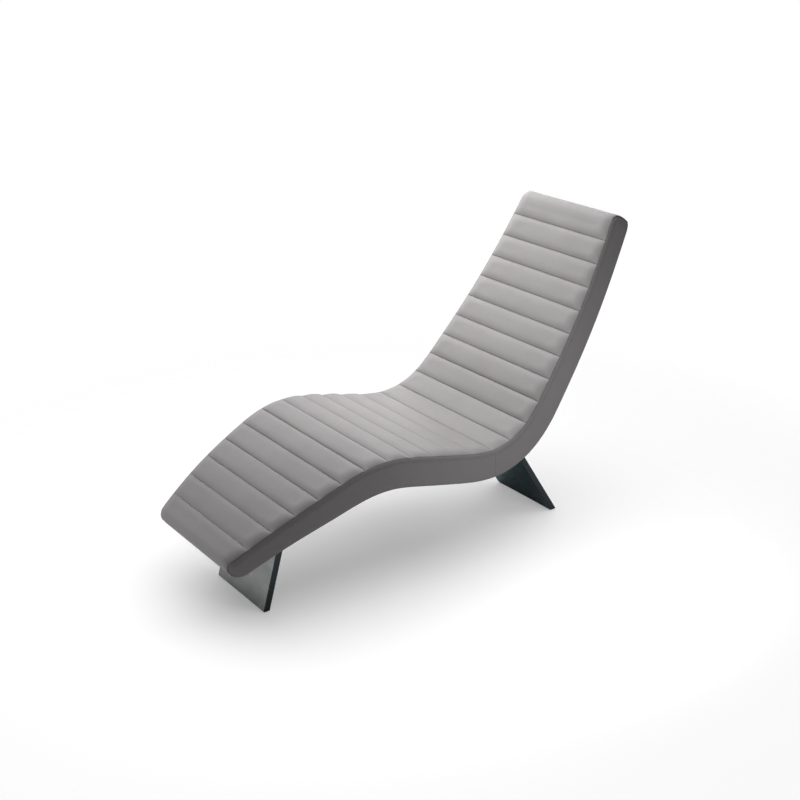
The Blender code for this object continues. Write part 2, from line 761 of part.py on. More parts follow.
def leg_outline(frame, top, lean, thick, foot_z):
    """A leaning plate seen from the side: its top lies along the slab and its foot is cut level."""
    down = Vector((0, math.sin(math.radians(lean)), -math.cos(math.radians(lean))))
    faceward = ACROSS.cross(down)
    seat = frame @ Vector((0, 0, top))
    out = frame.to_3x3() @ Vector((0, 0, 1))
    tops, feet = [], []
    for half in (-thick / 2, thick / 2):
        start = seat + faceward * half
        start = start + down * ((seat - start).dot(out) / down.dot(out))
        tops.append((start.y, start.z))
        end = start + down * ((foot_z - start.z) / down.z)
        feet.append((end.y, end.z))
    return [tops[0], tops[1], feet[1], feet[0]]


def leg_plate(word, frame, top, lean):
    """The leaning plate, a flat box open only at its foot, and the strip that it stands on."""
    lengthwise = Matrix(((0, 0, 1, 0), (1, 0, 0, 0), (0, 1, 0, 0), (0, 0, 0, 1)))
    foot_z = STRIP_HEIGHT + GAP
    outline = leg_outline(frame, top, lean, LEG_THICKNESS, foot_z)
    leg = plate(f"leg_plate_{word}", [outline], LEG_WIDTH, lengthwise, "leg metal")
    edge = leg.modifiers.new("eased edges", "BEVEL")
    edge.width = LEG_EDGE
    edge.segments = 1
    hollow = leg_outline(frame, top + LEG_WALL, lean, LEG_THICKNESS - 2 * LEG_WALL, -foot_z)
    inside = plate(f"leg_hollow_{word}", [hollow], LEG_WIDTH - 2 * LEG_WALL, lengthwise, "leg metal")
    cut(leg, set_aside(inside))
    near, far = sorted(y for y, z in outline[2:])
    strip = rounded_rectangle(LEG_WIDTH - 2 * STRIP_INSET, far - near - 2 * STRIP_INSET, STRIP_INSET)
    middle = Matrix.Translation((0, (near + far) / 2, STRIP_HEIGHT / 2))
    plate(f"floor_strip_{word}", [strip], STRIP_HEIGHT, middle, "floor felt")


def leg(word, s, lean, pierced):
    """One leg with its bracket, flange, bolts, plate and floor strip."""
    frame = leg_frame(s)
    base = layer_reach(s, BRACKET_LENGTH, above_underside(UNDERSIDE_THICKNESS))[0] - GAP
    flange_low = layer_reach(s, FLANGE_LENGTH, above_underside(0.0))[1] + GAP
    flange_high = flange_low + FLANGE_THICKNESS
    bolt_seat = flange_high + GAP
    bolt_length = bolt_seat - base + BRACKET_THICKNESS + BOLT_PROTRUSION
    cutter = bolt_hole_cutter(f"bolt_holes_{word}", frame, bolt_length)
    cut(pierced, cutter)
    leg_bracket(word, s, frame, base, cutter)
    outlines = [rounded_rectangle(FLANGE_WIDTH, FLANGE_LENGTH, FLANGE_CORNER)]
    outlines += [circle(x, y, BOLT_HOLE_RADIUS) for x, y in bolt_places()]
    flange_middle = frame @ Matrix.Translation((0, 0, (flange_low + flange_high) / 2))
    plate(f"leg_flange_{word}", outlines, FLANGE_THICKNESS, flange_middle, "leg metal")
    for i, (x, y) in enumerate(bolt_places()):
        leg_bolt(f"leg_bolt_{word}_{i + 1}", frame, x, y, bolt_seat, bolt_length)
    leg_plate(word, frame, flange_high + GAP, lean)


def main():
    clear_scene()
    centre_on_floor()
    quilted_cover()
    side_bands()
    pierced = underside_cover()
    foam_blocks()
    side_rails()
    cross_tubes()
    elastic_straps()
    leg("rear", REAR_LEG_AT, REAR_LEG_LEAN, pierced)
    leg("front", FRONT_LEG_AT, FRONT_LEG_LEAN, pierced)


main()
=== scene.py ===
# %% [markdown]
# # A quilted chaise longue in Blender
# The chaise is one S-shaped slab, covered in grey leather and carried by two leaning metal plates.
# The solids of every piece already exist at their real size, in metres, with +Z up and the head end
# towards +Y. This lesson loads them as a fixed frame and then makes what the eye sees: quilted
# leather, sewn edges, thread, metal and light. Nothing in the frame is moved or resized.

# %% Load the frame
import math

import bmesh
import bpy
from mathutils import Matrix, Vector, noise


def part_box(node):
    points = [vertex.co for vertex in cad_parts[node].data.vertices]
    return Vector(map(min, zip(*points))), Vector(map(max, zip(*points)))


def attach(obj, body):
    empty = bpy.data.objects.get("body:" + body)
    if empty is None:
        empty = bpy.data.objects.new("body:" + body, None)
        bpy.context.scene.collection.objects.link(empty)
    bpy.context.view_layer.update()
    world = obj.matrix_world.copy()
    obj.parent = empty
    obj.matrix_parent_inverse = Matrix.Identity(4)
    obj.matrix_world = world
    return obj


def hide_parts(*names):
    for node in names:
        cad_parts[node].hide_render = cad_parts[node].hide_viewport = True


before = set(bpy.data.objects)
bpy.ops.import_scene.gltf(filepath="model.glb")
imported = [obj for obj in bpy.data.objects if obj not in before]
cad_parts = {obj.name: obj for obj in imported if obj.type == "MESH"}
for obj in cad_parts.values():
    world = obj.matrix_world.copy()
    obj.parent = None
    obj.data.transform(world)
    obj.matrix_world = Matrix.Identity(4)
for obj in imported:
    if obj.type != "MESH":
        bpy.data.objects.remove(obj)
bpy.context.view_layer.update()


# %% [markdown]
# ## The camera
# The picture was taken from the left of the foot end, a little above. Matching the ends of all the
# cross seams gave the direction, the place and the lens. A Track To constraint could aim the camera,
# but it only points at a target. A camera looks along its own -Z, so here its matrix is written from
# three axes: right, up, and back from the chaise.

# %% Camera
CAMERA_AZIMUTH = math.radians(53.849)
CAMERA_ELEVATION = math.radians(22.111)
CAMERA_PLACE = Vector((3.1154, -2.2746, 2.0595))
CAMERA_LENS = 59.615
SENSOR_WIDTH = 36.0


def add_camera():
    """The camera at the picture's viewing angle."""
    back = Vector((
        math.sin(CAMERA_AZIMUTH) * math.cos(CAMERA_ELEVATION),
        -math.cos(CAMERA_AZIMUTH) * math.cos(CAMERA_ELEVATION),
        math.sin(CAMERA_ELEVATION),
    ))
    right = Vector((math.cos(CAMERA_AZIMUTH), math.sin(CAMERA_AZIMUTH), 0))
    camera = bpy.data.objects.new("camera", bpy.data.cameras.new("camera"))
    camera.data.lens = CAMERA_LENS
    camera.data.sensor_width = SENSOR_WIDTH
    camera.matrix_world = Matrix((right, back.cross(right), back)).transposed().to_4x4()
    camera.location = CAMERA_PLACE
    bpy.context.scene.collection.objects.link(camera)
    bpy.context.scene.camera = camera
    return camera


camera = add_camera()
print("camera at", tuple(round(c, 3) for c in camera.location))

# %% [markdown]
# ## The slab's own coordinates
# Every soft piece follows the same bent slab, so the lesson first builds a ruler for it. A place is
# given by s, the distance from the head end along the top edge, by d, the depth under that edge, and
# by x across. The slope eases from one bend to the next, and walking along it in short steps gives
# the line. These are the sizes that the solids were built from.

# %% Profile of the top edge
HEAD_HEIGHT = 1.026
HEAD_ANGLE = 62.0
BACK_RUN = 0.607
SEAT_BEND_RUN = 0.37
SEAT_RUN = 0.16
KNEE_BEND_RUN = 0.32
SHIN_RUN = 0.36
RUNS = (
    (BACK_RUN, 51.5),
    (SEAT_BEND_RUN, -12.5),
    (SEAT_RUN, -12.5),
    (KNEE_BEND_RUN, 24.5),
    (SHIN_RUN, 33.0),
)
LENGTH = sum(run for run, angle in RUNS)
LINE_STEPS = 1817
LINE_STEP = LENGTH / LINE_STEPS


def smooth(t):
    """Ease from 0 to 1."""
    t = min(max(t, 0.0), 1.0)
    return t * t * (3 - 2 * t)


def slope(s):
    """Slope of the top edge at s, in radians."""
    angle, start, before = HEAD_ANGLE, 0.0, HEAD_ANGLE
    for run, after in RUNS:
        angle += (after - before) * smooth((s - start) / run)
        start += run
        before = after
    return math.radians(angle)


def walk_line():
    """The top edge's (y, z) points, one for each short step from the head end."""
    y, z, points = 0.0, HEAD_HEIGHT, [(0.0, HEAD_HEIGHT)]
    for i in range(LINE_STEPS):
        angle = slope((i + 0.5) * LINE_STEP)
        y -= math.cos(angle) * LINE_STEP
        z -= math.sin(angle) * LINE_STEP
        points.append((y, z))
    return points


LINE = walk_line()
print("top edge:", round(LENGTH, 3), "m long, foot end", round(LINE[-1][1], 3), "m high")

# %% [markdown]
# The slab is widest at the seat and is drawn in to both ends. It is also thickest at the seat. Both
# rules repeat the solids' rules. The line was walked from y = 0, so one known place is enough to slide
# it home: the side bands join beside the seat, and the frame knows where.

# %% Width, thickness and place
SEAT_WIDTH = 0.618
HEAD_WIDTH = 0.434
FOOT_WIDTH = 0.422
WIDEST_AT = BACK_RUN + 0.400
TAPER_BLEND = 0.24
FOOT_TAPER_POWER = 2.3
HEAD_THICKNESS = 0.077
SEAT_THICKNESS = 0.0905
FOOT_THICKNESS = 0.065
THICK_FROM = BACK_RUN + 0.200
THICK_TO = BACK_RUN + SEAT_BEND_RUN + SEAT_RUN + 0.150
BAND_JOIN_AT = BACK_RUN + 0.259
END_DRAW = 0.004
END_DRAW_REACH = 0.030
HEAD_SWELL = 0.006
HEAD_SWELL_REACH = 0.045


def half_width(s):
    """Half the slab's width at s, to the face of a side band; the end corners are rounded off."""
    away = abs(s - WIDEST_AT)
    if s < WIDEST_AT:
        drawn = math.hypot(away, TAPER_BLEND) - TAPER_BLEND
        share = drawn / (math.hypot(WIDEST_AT, TAPER_BLEND) - TAPER_BLEND)
        half = (SEAT_WIDTH - (SEAT_WIDTH - HEAD_WIDTH) * share) / 2
    else:
        share = (away / (LENGTH - WIDEST_AT)) ** FOOT_TAPER_POWER
        half = (SEAT_WIDTH - (SEAT_WIDTH - FOOT_WIDTH) * share) / 2
    from_end = max(min(s, LENGTH - s), 0.0)
    return half - END_DRAW * (1 - smooth(from_end / END_DRAW_REACH))


def thickness(s):
    """Thickness of the slab at s."""
    if s < THICK_FROM:
        return HEAD_THICKNESS + (SEAT_THICKNESS - HEAD_THICKNESS) * smooth(s / THICK_FROM)
    thinned = smooth((s - THICK_TO) / (LENGTH - THICK_TO))
    return SEAT_THICKNESS + (FOOT_THICKNESS - SEAT_THICKNESS) * thinned


def line_point(s):
    """The top edge's (y, z) at s, straight between two steps."""
    steps = s / LINE_STEP
    i = min(int(steps), LINE_STEPS - 1)
    t = steps - i
    (y0, z0), (y1, z1) = LINE[i], LINE[i + 1]
    return y0 + (y1 - y0) * t, z0 + (z1 - z0) * t


def swell(s, d):
    """How far the padded head end stands out past its straight face."""
    across_end = min(max(d / HEAD_THICKNESS, 0.0), 1.0)
    return HEAD_SWELL * math.sin(math.pi * across_end) * (1 - smooth(s / HEAD_SWELL_REACH))


def place(s, d, x=0.0):
    """The point at s along the slab, d under its top edge and x across."""
    s -= swell(s, d)
    inside = min(max(s, 0.0), LENGTH)
    angle = slope(inside)
    y, z = line_point(inside)
    y += math.sin(angle) * d - math.cos(angle) * (s - inside)
    z -= math.cos(angle) * d + math.sin(angle) * (s - inside)
    return Vector((x, y + LINE_SHIFT, z))


LINE_SHIFT = 0.0
join = place(BAND_JOIN_AT, thickness(BAND_JOIN_AT))
LINE_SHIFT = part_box("side_band_seat_left")[1].y - join.y
print("the line slides", round(LINE_SHIFT, 4), "m along Y")

# %% [markdown]
# ## The outline that the leather is sewn round
# Seen from the side, the slab is a long strip with rounded ends. The quilted top runs along it, wraps
# round both ends and stops under them. Each point of the outline knows which way is outwards, as a
# direction in s and d, so padding and piping can be pushed out along it later.

# %% Outline with rounded ends
HEAD_TOP_RADIUS = 0.022
HEAD_BACK_RADIUS = 0.010
FOOT_TOP_RADIUS = 0.022
FOOT_UNDER_RADIUS = 0.034
ARC_STEPS = 9
FACE_STEPS = 6


def corner(centre_s, centre_d, radius, first):
    """Points (s, d, outward s, outward d) of a quarter circle that starts at an angle in degrees."""
    points = []
    for i in range(ARC_STEPS + 1):
        angle = math.radians(first + 90 * i / ARC_STEPS)
        out_s, out_d = math.cos(angle), math.sin(angle)
        points.append((centre_s + radius * out_s, centre_d + radius * out_d, out_s, out_d))
    return points


def between(start, end, steps):
    """Outline points strictly between two that face the same way."""
    return [
        tuple(a + (b - a) * i / steps for a, b in zip(start, end))
        for i in range(1, steps)
    ]


def head_nose():
    """The head end, from under the slab up to its top."""
    back = corner(HEAD_BACK_RADIUS, HEAD_THICKNESS - HEAD_BACK_RADIUS, HEAD_BACK_RADIUS, 90)
    top = corner(HEAD_TOP_RADIUS, HEAD_TOP_RADIUS, HEAD_TOP_RADIUS, 180)
    return back + between(back[-1], top[0], FACE_STEPS) + top


def foot_nose():
    """The foot end, from the top of the slab down to its underside."""
    top = corner(LENGTH - FOOT_TOP_RADIUS, FOOT_TOP_RADIUS, FOOT_TOP_RADIUS, 270)
    centre = FOOT_THICKNESS - FOOT_UNDER_RADIUS
    under = corner(LENGTH - FOOT_UNDER_RADIUS, centre, FOOT_UNDER_RADIUS, 0)
    return top + between(top[-1], under[0], FACE_STEPS) + under


print("noses:", len(head_nose()), "and", len(foot_nose()), "points")

# %% [markdown]
# ## Leather
# Upholstery leather is close to one colour, but never quite: the dye varies over a hand's width, and a
# fine pebble grain breaks up the gloss. Creases at the seams lie in shade, and that shade is also
# painted into the colour here. A scanned picture could show all that, but it would need unwrapping and
# would repeat. Noise and Voronoi nodes on Object coordinates need neither. A few helpers keep the node
# trees readable.

# %% Node helpers
def new_material(name):
    """A material with its node tree, its main shader and the piece's own coordinates."""
    material = bpy.data.materials.new(name)
    material.use_nodes = True
    tree = material.node_tree
    coords = tree.nodes.new("ShaderNodeTexCoord").outputs["Object"]
    return material, tree, tree.nodes["Principled BSDF"], coords


def add_node(tree, kind, **values):
    """A node of some kind, with its settings and its unlinked inputs."""
    made = tree.nodes.new(kind)
    for key, value in values.items():
        if key in made.inputs:
            made.inputs[key].default_value = value
        else:
            setattr(made, key, value)
    return made


def feed(tree, socket, value):
    """Link a socket to another one, or set it to a plain value."""
    if isinstance(value, bpy.types.NodeSocket):
        tree.links.new(value, socket)
    else:
        socket.default_value = value


def pattern(tree, kind, coords, **values):
    """The outputs of a texture node that reads some coordinates."""
    made = add_node(tree, kind, **values)
    feed(tree, made.inputs["Vector"], coords)
    return made.outputs


def split(tree, vector):
    """The X, Y and Z of a vector."""
    made = tree.nodes.new("ShaderNodeSeparateXYZ")
    feed(tree, made.inputs["Vector"], vector)
    return made.outputs


def arithmetic(tree, operation, first, second):
    """A Math node whose inputs are sockets or numbers."""
    made = add_node(tree, "ShaderNodeMath", operation=operation)
    feed(tree, made.inputs[0], first)
    feed(tree, made.inputs[1], second)
    return made.outputs["Value"]


print("node trees for Blender", bpy.app.version_string)

# %% Colour and bump helpers
NOISE_RANGE = (0.3, 0.7)


def ramp(tree, factor, dark, light, low=0.0, high=1.0):
    """A colour ramp from dark to light, driven by a factor."""
    made = tree.nodes.new("ShaderNodeValToRGB")
    made.color_ramp.elements[0].position = low
    made.color_ramp.elements[1].position = high
    made.color_ramp.elements[0].color = (*dark, 1)
    made.color_ramp.elements[1].color = (*light, 1)
    feed(tree, made.inputs["Fac"], factor)
    return made.outputs["Color"]


def mixed(tree, blend, factor, first, second):
    """Two colours blended in some way; the factor and the colours are sockets or values."""
    made = tree.nodes.new("ShaderNodeMix")
    made.data_type = "RGBA"
    made.blend_type = blend
    feed(tree, made.inputs["Factor"], factor)
    feed(tree, made.inputs["A"], first)
    feed(tree, made.inputs["B"], second)
    return made.outputs["Result"]


def bumped(tree, height, strength, depth, below=None):
    """A normal bumped by a height, on top of another bumped normal if there is one."""
    made = add_node(tree, "ShaderNodeBump", Strength=strength, Distance=depth)
    feed(tree, made.inputs["Height"], height)
    if below is not None:
        feed(tree, made.inputs["Normal"], below)
    return made.outputs["Normal"]


def scaled(colour, share):
    """A colour made lighter or darker."""
    return tuple(c * share for c in colour)


def uneven(tree, factor, colour, spread):
    """A colour that varies by a share to both sides, driven by a noise."""
    return ramp(tree, factor, scaled(colour, 1 - spread), scaled(colour, 1 + spread), *NOISE_RANGE)


def grey(level):
    """A neutral colour."""
    return level, level, level


print("noise is read between", NOISE_RANGE[0], "and", NOISE_RANGE[1])

# %% [markdown]
# The grain is a Voronoi pattern with cells of about a millimetre. A number stored on the mesh later on
# says how close a point is to a seam. It darkens the colour there as painted shade, and lets small
# puckers show, running away from the stitches. The two bumps are chained, so the grain lies on the
# puckers.

# %% Leather material
LEATHER_COLOUR = (0.272, 0.260, 0.2615)
BAND_TONE = 0.97
DYE_SCALE = 9.0
DYE_DETAIL = 8.0
DYE_ROUGHNESS = 0.74
DYE_SPREAD = 0.05
# Painted shade: the darker grey that seams, joins and borders are pulled towards, and how far.
PAINTED_CREASE_SHADE_COLOUR = (0.42, 0.40, 0.39)
PAINTED_CREASE_SHADE = 0.12
LEATHER_SPECULAR = 0.20
ROUGH_LOW = 0.58
ROUGH_HIGH = 0.72
GRAIN_CELLS = 900.0
PORE_SCALE = GRAIN_CELLS / 4
GRAIN_STRENGTH = 0.22
GRAIN_DEPTH = 0.0003
PUCKER_STRETCH = (150.0, 26.0, 26.0)
PUCKER_STRENGTH = 0.35
PUCKER_DEPTH = 0.0016


def leather(name, colour):
    """Grey upholstery leather with grain, uneven dye, and puckers and painted shade at the seams."""
    material, tree, shader, coords = new_material(name)
    crease_shade_and_pucker = add_node(tree, "ShaderNodeAttribute", attribute_name="crease_shade_and_pucker").outputs["Fac"]

    dye = pattern(
        tree, "ShaderNodeTexNoise", coords, Scale=DYE_SCALE, Detail=DYE_DETAIL, Roughness=DYE_ROUGHNESS,
    )
    dyed = uneven(tree, dye["Fac"], colour, DYE_SPREAD)
    # Painted shade: near seams, joins and borders the colour is multiplied towards a darker grey.
    shade = arithmetic(tree, "MULTIPLY", crease_shade_and_pucker, PAINTED_CREASE_SHADE)
    feed(tree, shader.inputs["Base Color"], mixed(tree, "MULTIPLY", shade, dyed, (*PAINTED_CREASE_SHADE_COLOUR, 1)))

    pores = pattern(tree, "ShaderNodeTexNoise", coords, Scale=PORE_SCALE, Detail=3.0)
    gloss = ramp(tree, pores["Fac"], grey(ROUGH_LOW), grey(ROUGH_HIGH), *NOISE_RANGE)
    feed(tree, shader.inputs["Roughness"], gloss)
    shader.inputs["Specular IOR Level"].default_value = LEATHER_SPECULAR

    stretched = pattern(tree, "ShaderNodeMapping", coords, Scale=PUCKER_STRETCH)
    pucker = pattern(tree, "ShaderNodeTexNoise", stretched["Vector"], Scale=1.0, Detail=2.0)
    drawn = arithmetic(tree, "MULTIPLY", pucker["Fac"], crease_shade_and_pucker)
    cells = pattern(tree, "ShaderNodeTexVoronoi", coords, Scale=GRAIN_CELLS, feature="SMOOTH_F1")
    puckered = bumped(tree, drawn, PUCKER_STRENGTH, PUCKER_DEPTH)
    grained = bumped(tree, cells["Distance"], GRAIN_STRENGTH, GRAIN_DEPTH, puckered)
    feed(tree, shader.inputs["Normal"], grained)
    return material


QUILTED_LEATHER = leather("quilted leather", LEATHER_COLOUR)
PLAIN_LEATHER = leather("plain leather", scaled(LEATHER_COLOUR, BAND_TONE))
print("leather:", QUILTED_LEATHER.name, "and", PLAIN_LEATHER.name)

# %% [markdown]
# ## The quilted top
# Twenty-two seams run across the slab and hold the padding down, so the leather rises between them in
# twenty-three soft channels. A cloth blown up from a flat sheet would make channels too, but never the
# same ones, and those of this chaise are taut and regular. So a formula gives the height first: full
# and nearly flat in the middle, and falling ever faster to the seam. At the front of the seat the
# channels are rounder. A short cloth simulation then only settles the leather between its seams.

# %% Heights of the channels
CROSS_SEAMS = 22
HEAD_CHANNEL = 0.085
FOOT_CHANNEL = 0.079
PITCH = (LENGTH - HEAD_CHANNEL - FOOT_CHANNEL) / (CROSS_SEAMS - 1)
SEAMS = [HEAD_CHANNEL + PITCH * i for i in range(CROSS_SEAMS)]
CHANNEL_CROWN = 0.0086
NOSE_CROWN = 0.0015
CROWN_POWER = 3.3
SHIN_CROWN_POWER = 4.0
SHIN_FROM = BACK_RUN + SEAT_BEND_RUN + SEAT_RUN
FULL_CROWN_POWER = 2.4
FULL_SEAM = 13
FULL_REACH = 3.5 * PITCH
HEAD_FALL = 0.004


def seam_distance(s):
    """Distance along the slab from s to the nearest cross seam."""
    return min(abs(s - seam) for seam in SEAMS)


def fullness(s):
    """How full the channels stand at the front of the seat, from 0 to 1."""
    return 1 - smooth(abs(s - SEAMS[FULL_SEAM]) / FULL_REACH)


def crown(s):
    """Height of the quilting at s, away from the side edges."""
    reach = PITCH / 2
    if s < SEAMS[0]:
        reach = HEAD_CHANNEL / 2
    elif s > SEAMS[-1]:
        reach = FOOT_CHANNEL / 2
    t = min(seam_distance(s) / reach, 1.0)
    power = CROWN_POWER + (SHIN_CROWN_POWER - CROWN_POWER) * smooth((s - SHIN_FROM) / KNEE_BEND_RUN)
    power += (FULL_CROWN_POWER - power) * fullness(s)
    fall = HEAD_FALL * max(0.0, 1 - 2 * s / HEAD_CHANNEL) ** 2
    return CHANNEL_CROWN * (1 - (1 - t) ** power) - fall


def nose_crown(out_s):
    """Height of the padding round a nose, which thins out where the nose faces along the slab."""
    return CHANNEL_CROWN + (NOSE_CROWN - CHANNEL_CROWN) * out_s ** 2


print("channels:", CROSS_SEAMS + 1, "with a pitch of", round(PITCH * 1000, 1), "mm")

# %% [markdown]
# At the sides each channel ends in a rounded shoulder, which is steeper round the noses and at the far
# edge of the seat. Beside a seam the stitches pull a narrow fold, firmly along the back and lightly
# along the shin. In the hollow of the seat the seams go slack towards the near side and fade out.

# %% Shoulders and folds
EDGE_SEAM_INSET = 0.0068
NOSE_SEAM_INSET = 0.0040
EDGE_ROUND = 0.042
NOSE_ROUND = 0.010
FULL_ROUND = 0.018
EDGE_POWER = 2.4
TUCK_DEPTH = 0.0018
TUCK_REACH = 0.0040
BACK_PULL = 1.25
SHIN_PULL = 0.60
SLACK_SEAM = 12
SLACK_REACH = 2.4 * PITCH
SLACK_FROM = -0.05
SLACK_TO = 0.22
SLACK_SHARE = 0.75


def edge_seam_inset(out_s):
    """Inset of the quilted top's edge from the side, smaller round the noses."""
    return EDGE_SEAM_INSET + (NOSE_SEAM_INSET - EDGE_SEAM_INSET) * out_s ** 2


def edge_share(inset, out_s, full):
    """Share of the crown that is left at an inset from the edge seam."""
    reach = EDGE_ROUND + (NOSE_ROUND - EDGE_ROUND) * out_s ** 2 + (FULL_ROUND - EDGE_ROUND) * full
    return 1 - (1 - min(inset / reach, 1.0)) ** EDGE_POWER


def tuck(distance):
    """Depth of the narrow fold beside a seam."""
    return TUCK_DEPTH * max(0.0, 1 - distance / TUCK_REACH) ** 2


def seam_pull(s):
    """How hard the stitches of a cross seam pull: firmly along the back, lightly along the shin."""
    return BACK_PULL + (SHIN_PULL - BACK_PULL) * smooth((s - SEAMS[SLACK_SEAM]) / KNEE_BEND_RUN)


def slack(s, x):
    """How far the seams in the hollow of the seat go slack, from 0 to 1."""
    along = 1 - smooth(abs(s - SEAMS[SLACK_SEAM]) / SLACK_REACH)
    return SLACK_SHARE * along * smooth((x - SLACK_FROM) / (SLACK_TO - SLACK_FROM))


print("slack at the near edge of the seat:", round(slack(SEAMS[SLACK_SEAM], SEAT_WIDTH / 2), 2))

# %% [markdown]
# The mesh starts as a flat grid. Its rows are gathered at the seams and its columns at the side edges,
# where the surface turns fastest, so few faces are spent on the flat middle of a channel. At both ends
# the rows go round the nose and a little way under the slab, where the padding runs out.

# %% Rows along the slab and columns across it
ROWS_PER_HALF = 10
GATHER = 1.7
EDGE_COLUMNS = 12
MIDDLE_COLUMNS = 44
SHOULDER_REACH = 0.060
LAP_ROWS = 6
HEAD_LAP = 0.055
FOOT_LAP = 0.060


def gathered(count):
    """Shares from 0 to 1, close together near 0."""
    return [(i / count) ** GATHER for i in range(count + 1)]


def top_rows():
    """Places along the top, from nose to nose, gathered at every seam."""
    edges = [HEAD_TOP_RADIUS, *SEAMS, LENGTH - FOOT_TOP_RADIUS]
    places = set()
    for low, high in zip(edges, edges[1:]):
        half = (high - low) / 2
        places.update(round(low + half * t, 6) for t in gathered(ROWS_PER_HALF))
        places.update(round(high - half * t, 6) for t in gathered(ROWS_PER_HALF))
    return sorted(places)


def cover_rows():
    """Rows (s, d, outward s, outward d, height, share of the padding) of the quilted top, lap to lap."""
    head = [(HEAD_LAP, thickness(HEAD_LAP), 0.0, 1.0)]
    head += between(head[0], head_nose()[0], LAP_ROWS)
    head += head_nose()[:-1]
    foot = foot_nose()[1:]
    lap = (LENGTH - FOOT_LAP, thickness(LENGTH - FOOT_LAP), 0.0, 1.0)
    foot += between(foot[-1], lap, LAP_ROWS)
    foot.append(lap)
    rows = []
    for i, spot in enumerate(head):
        height = min(nose_crown(spot[2]), crown(spot[0]))
        rows.append((*spot, height, smooth(i / len(head))))
    rows += [(s, 0.0, 0.0, -1.0, crown(s), 1.0) for s in top_rows()]
    for i, spot in enumerate(foot):
        rows.append((*spot, nose_crown(spot[2]), smooth(1 - (i + 1) / len(foot))))
    return rows


def cover_columns():
    """Columns (inset from the edge, or None, and share of the middle's half width), edge to edge."""
    edge = [(SHOULDER_REACH * t, 1.0) for t in gathered(EDGE_COLUMNS)]
    middle = [(None, 2 * i / MIDDLE_COLUMNS - 1) for i in range(1, MIDDLE_COLUMNS)]
    left = [(inset, 1.0) for inset, side in reversed(edge)]
    right = [(inset, -1.0) for inset, side in edge]
    return right + middle + left


ROWS = cover_rows()
COLUMNS = cover_columns()
print("quilting grid:", len(ROWS), "rows and", len(COLUMNS), "columns")

# %% [markdown]
# Every leather piece starts as such a grid, so one helper makes it and remembers each point's row and
# column. Another turns a finished mesh into a piece that rides on the chaise and stands for its solid.
# A Solidify modifier gives the open skin a real thickness inwards, so its edges look like leather.

# %% Grids and finished pieces
LEATHER_THICKNESS = 0.0022
SHARP_ANGLE = math.radians(50)


def grid_mesh(rows, columns):
    """A flat grid with a number for painted shade and puckers on its points, and a list of (point, row,
    column).
    """
    shape = bmesh.new()
    crease_shade_and_pucker = shape.verts.layers.float.new("crease_shade_and_pucker")
    bmesh.ops.create_grid(shape, x_segments=columns - 1, y_segments=rows - 1, size=1)
    spots = []
    for point in shape.verts:
        row = round((point.co.y + 1) / 2 * (rows - 1))
        column = round((point.co.x + 1) / 2 * (columns - 1))
        spots.append((point, row, column))
    return shape, spots, crease_shade_and_pucker


def add_piece(name, shape, material, slot, *nodes):
    """A finished piece that rides on the fixed body, stands for its nodes and takes the material given; the
    slot is not used.
    """
    mesh = bpy.data.meshes.new(name)
    shape.to_mesh(mesh)
    shape.free()
    mesh.materials.append(material)
    mesh.shade_smooth()
    mesh.set_sharp_from_angle(angle=SHARP_ANGLE)
    piece = bpy.data.objects.new(name, mesh)
    bpy.context.scene.collection.objects.link(piece)
    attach(piece, "root")
    if nodes:
        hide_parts(*nodes)
    return piece


def thicken(piece, thick):
    """Give an open skin its leather's thickness, inwards."""
    wall = piece.modifiers.new("leather", "SOLIDIFY")
    wall.thickness = thick
    wall.offset = -1


print("leather is", LEATHER_THICKNESS * 1000, "mm thick")

# %% [markdown]
# The cloth simulation blows the skin up from below, with a little pressure and no gravity. A pinned
# vertex group holds every seam, the side edges and both noses. Left alone, a cloth would balloon into
# trays with sharp rims at the seams. So it runs for a few frames only, a point takes the share of its
# movement that the channel's own profile allows, and no point moves more than 1.4 mm. The result is
# written into the mesh and the modifier is removed.

# %% Cloth between the seams
PADDING_PRESSURE = 0.3
LEATHER_STIFFNESS = 15.0
LEATHER_BENDING = 0.5
CLOTH_QUALITY = 5
CLOTH_FRAMES = 11
CLOTH_LIMIT = 0.0014
TINY = 1e-9


def inflate(piece, loose):
    """Blow the skin up as a cloth that is held at its seams, and keep the shape in which it settles."""
    scene = bpy.context.scene
    group = piece.vertex_groups.new(name="sewn down")
    for index, share in enumerate(loose):
        group.add([index], 0.0 if share else 1.0, "REPLACE")
    cloth = piece.modifiers.new("padding", "CLOTH")
    cloth.settings.vertex_group_mass = group.name
    cloth.settings.use_pressure = True
    cloth.settings.uniform_pressure_force = PADDING_PRESSURE
    cloth.settings.effector_weights.gravity = 0
    cloth.settings.quality = CLOTH_QUALITY
    cloth.settings.tension_stiffness = LEATHER_STIFFNESS
    cloth.settings.compression_stiffness = LEATHER_STIFFNESS
    cloth.settings.bending_stiffness = LEATHER_BENDING
    cloth.collision_settings.use_collision = False
    cloth.point_cache.frame_end = CLOTH_FRAMES
    for moment in range(1, CLOTH_FRAMES + 1):
        scene.frame_set(moment)
    settled = piece.evaluated_get(bpy.context.evaluated_depsgraph_get()).data
    steps = [new.co - old.co for new, old in zip(settled.vertices, piece.data.vertices)]
    for point, step, share in zip(piece.data.vertices, steps, loose):
        point.co += step * share * min(1.0, CLOTH_LIMIT / max(step.length, TINY))
    print("cloth moved up to", round(max(step.length for step in steps) * 1000, 1), "mm")
    piece.modifiers.remove(cloth)
    piece.vertex_groups.remove(group)
    scene.frame_set(1)


print("cloth:", CLOTH_FRAMES, "frames, held to", CLOTH_LIMIT * 1000, "mm")

# %% [markdown]
# Now every point of the grid gets its place on the slab: so far along, so deep, so far across, and
# lifted outwards by its height. A slow noise adds half a millimetre of unevenness, because no hand
# fills two channels alike. On the way each point notes its closeness to a seam, for painted shade and
# puckers, and the freedom of the cloth.

# %% Bend the grid onto the slab
UNEVEN_HEIGHT = 0.0006
UNEVEN_SCALE = 11.0
CREASE_REACH = 0.007
EDGE_TUCK = 0.25
EDGE_CREASE = 0.35
LOOSE_REACH = 0.030


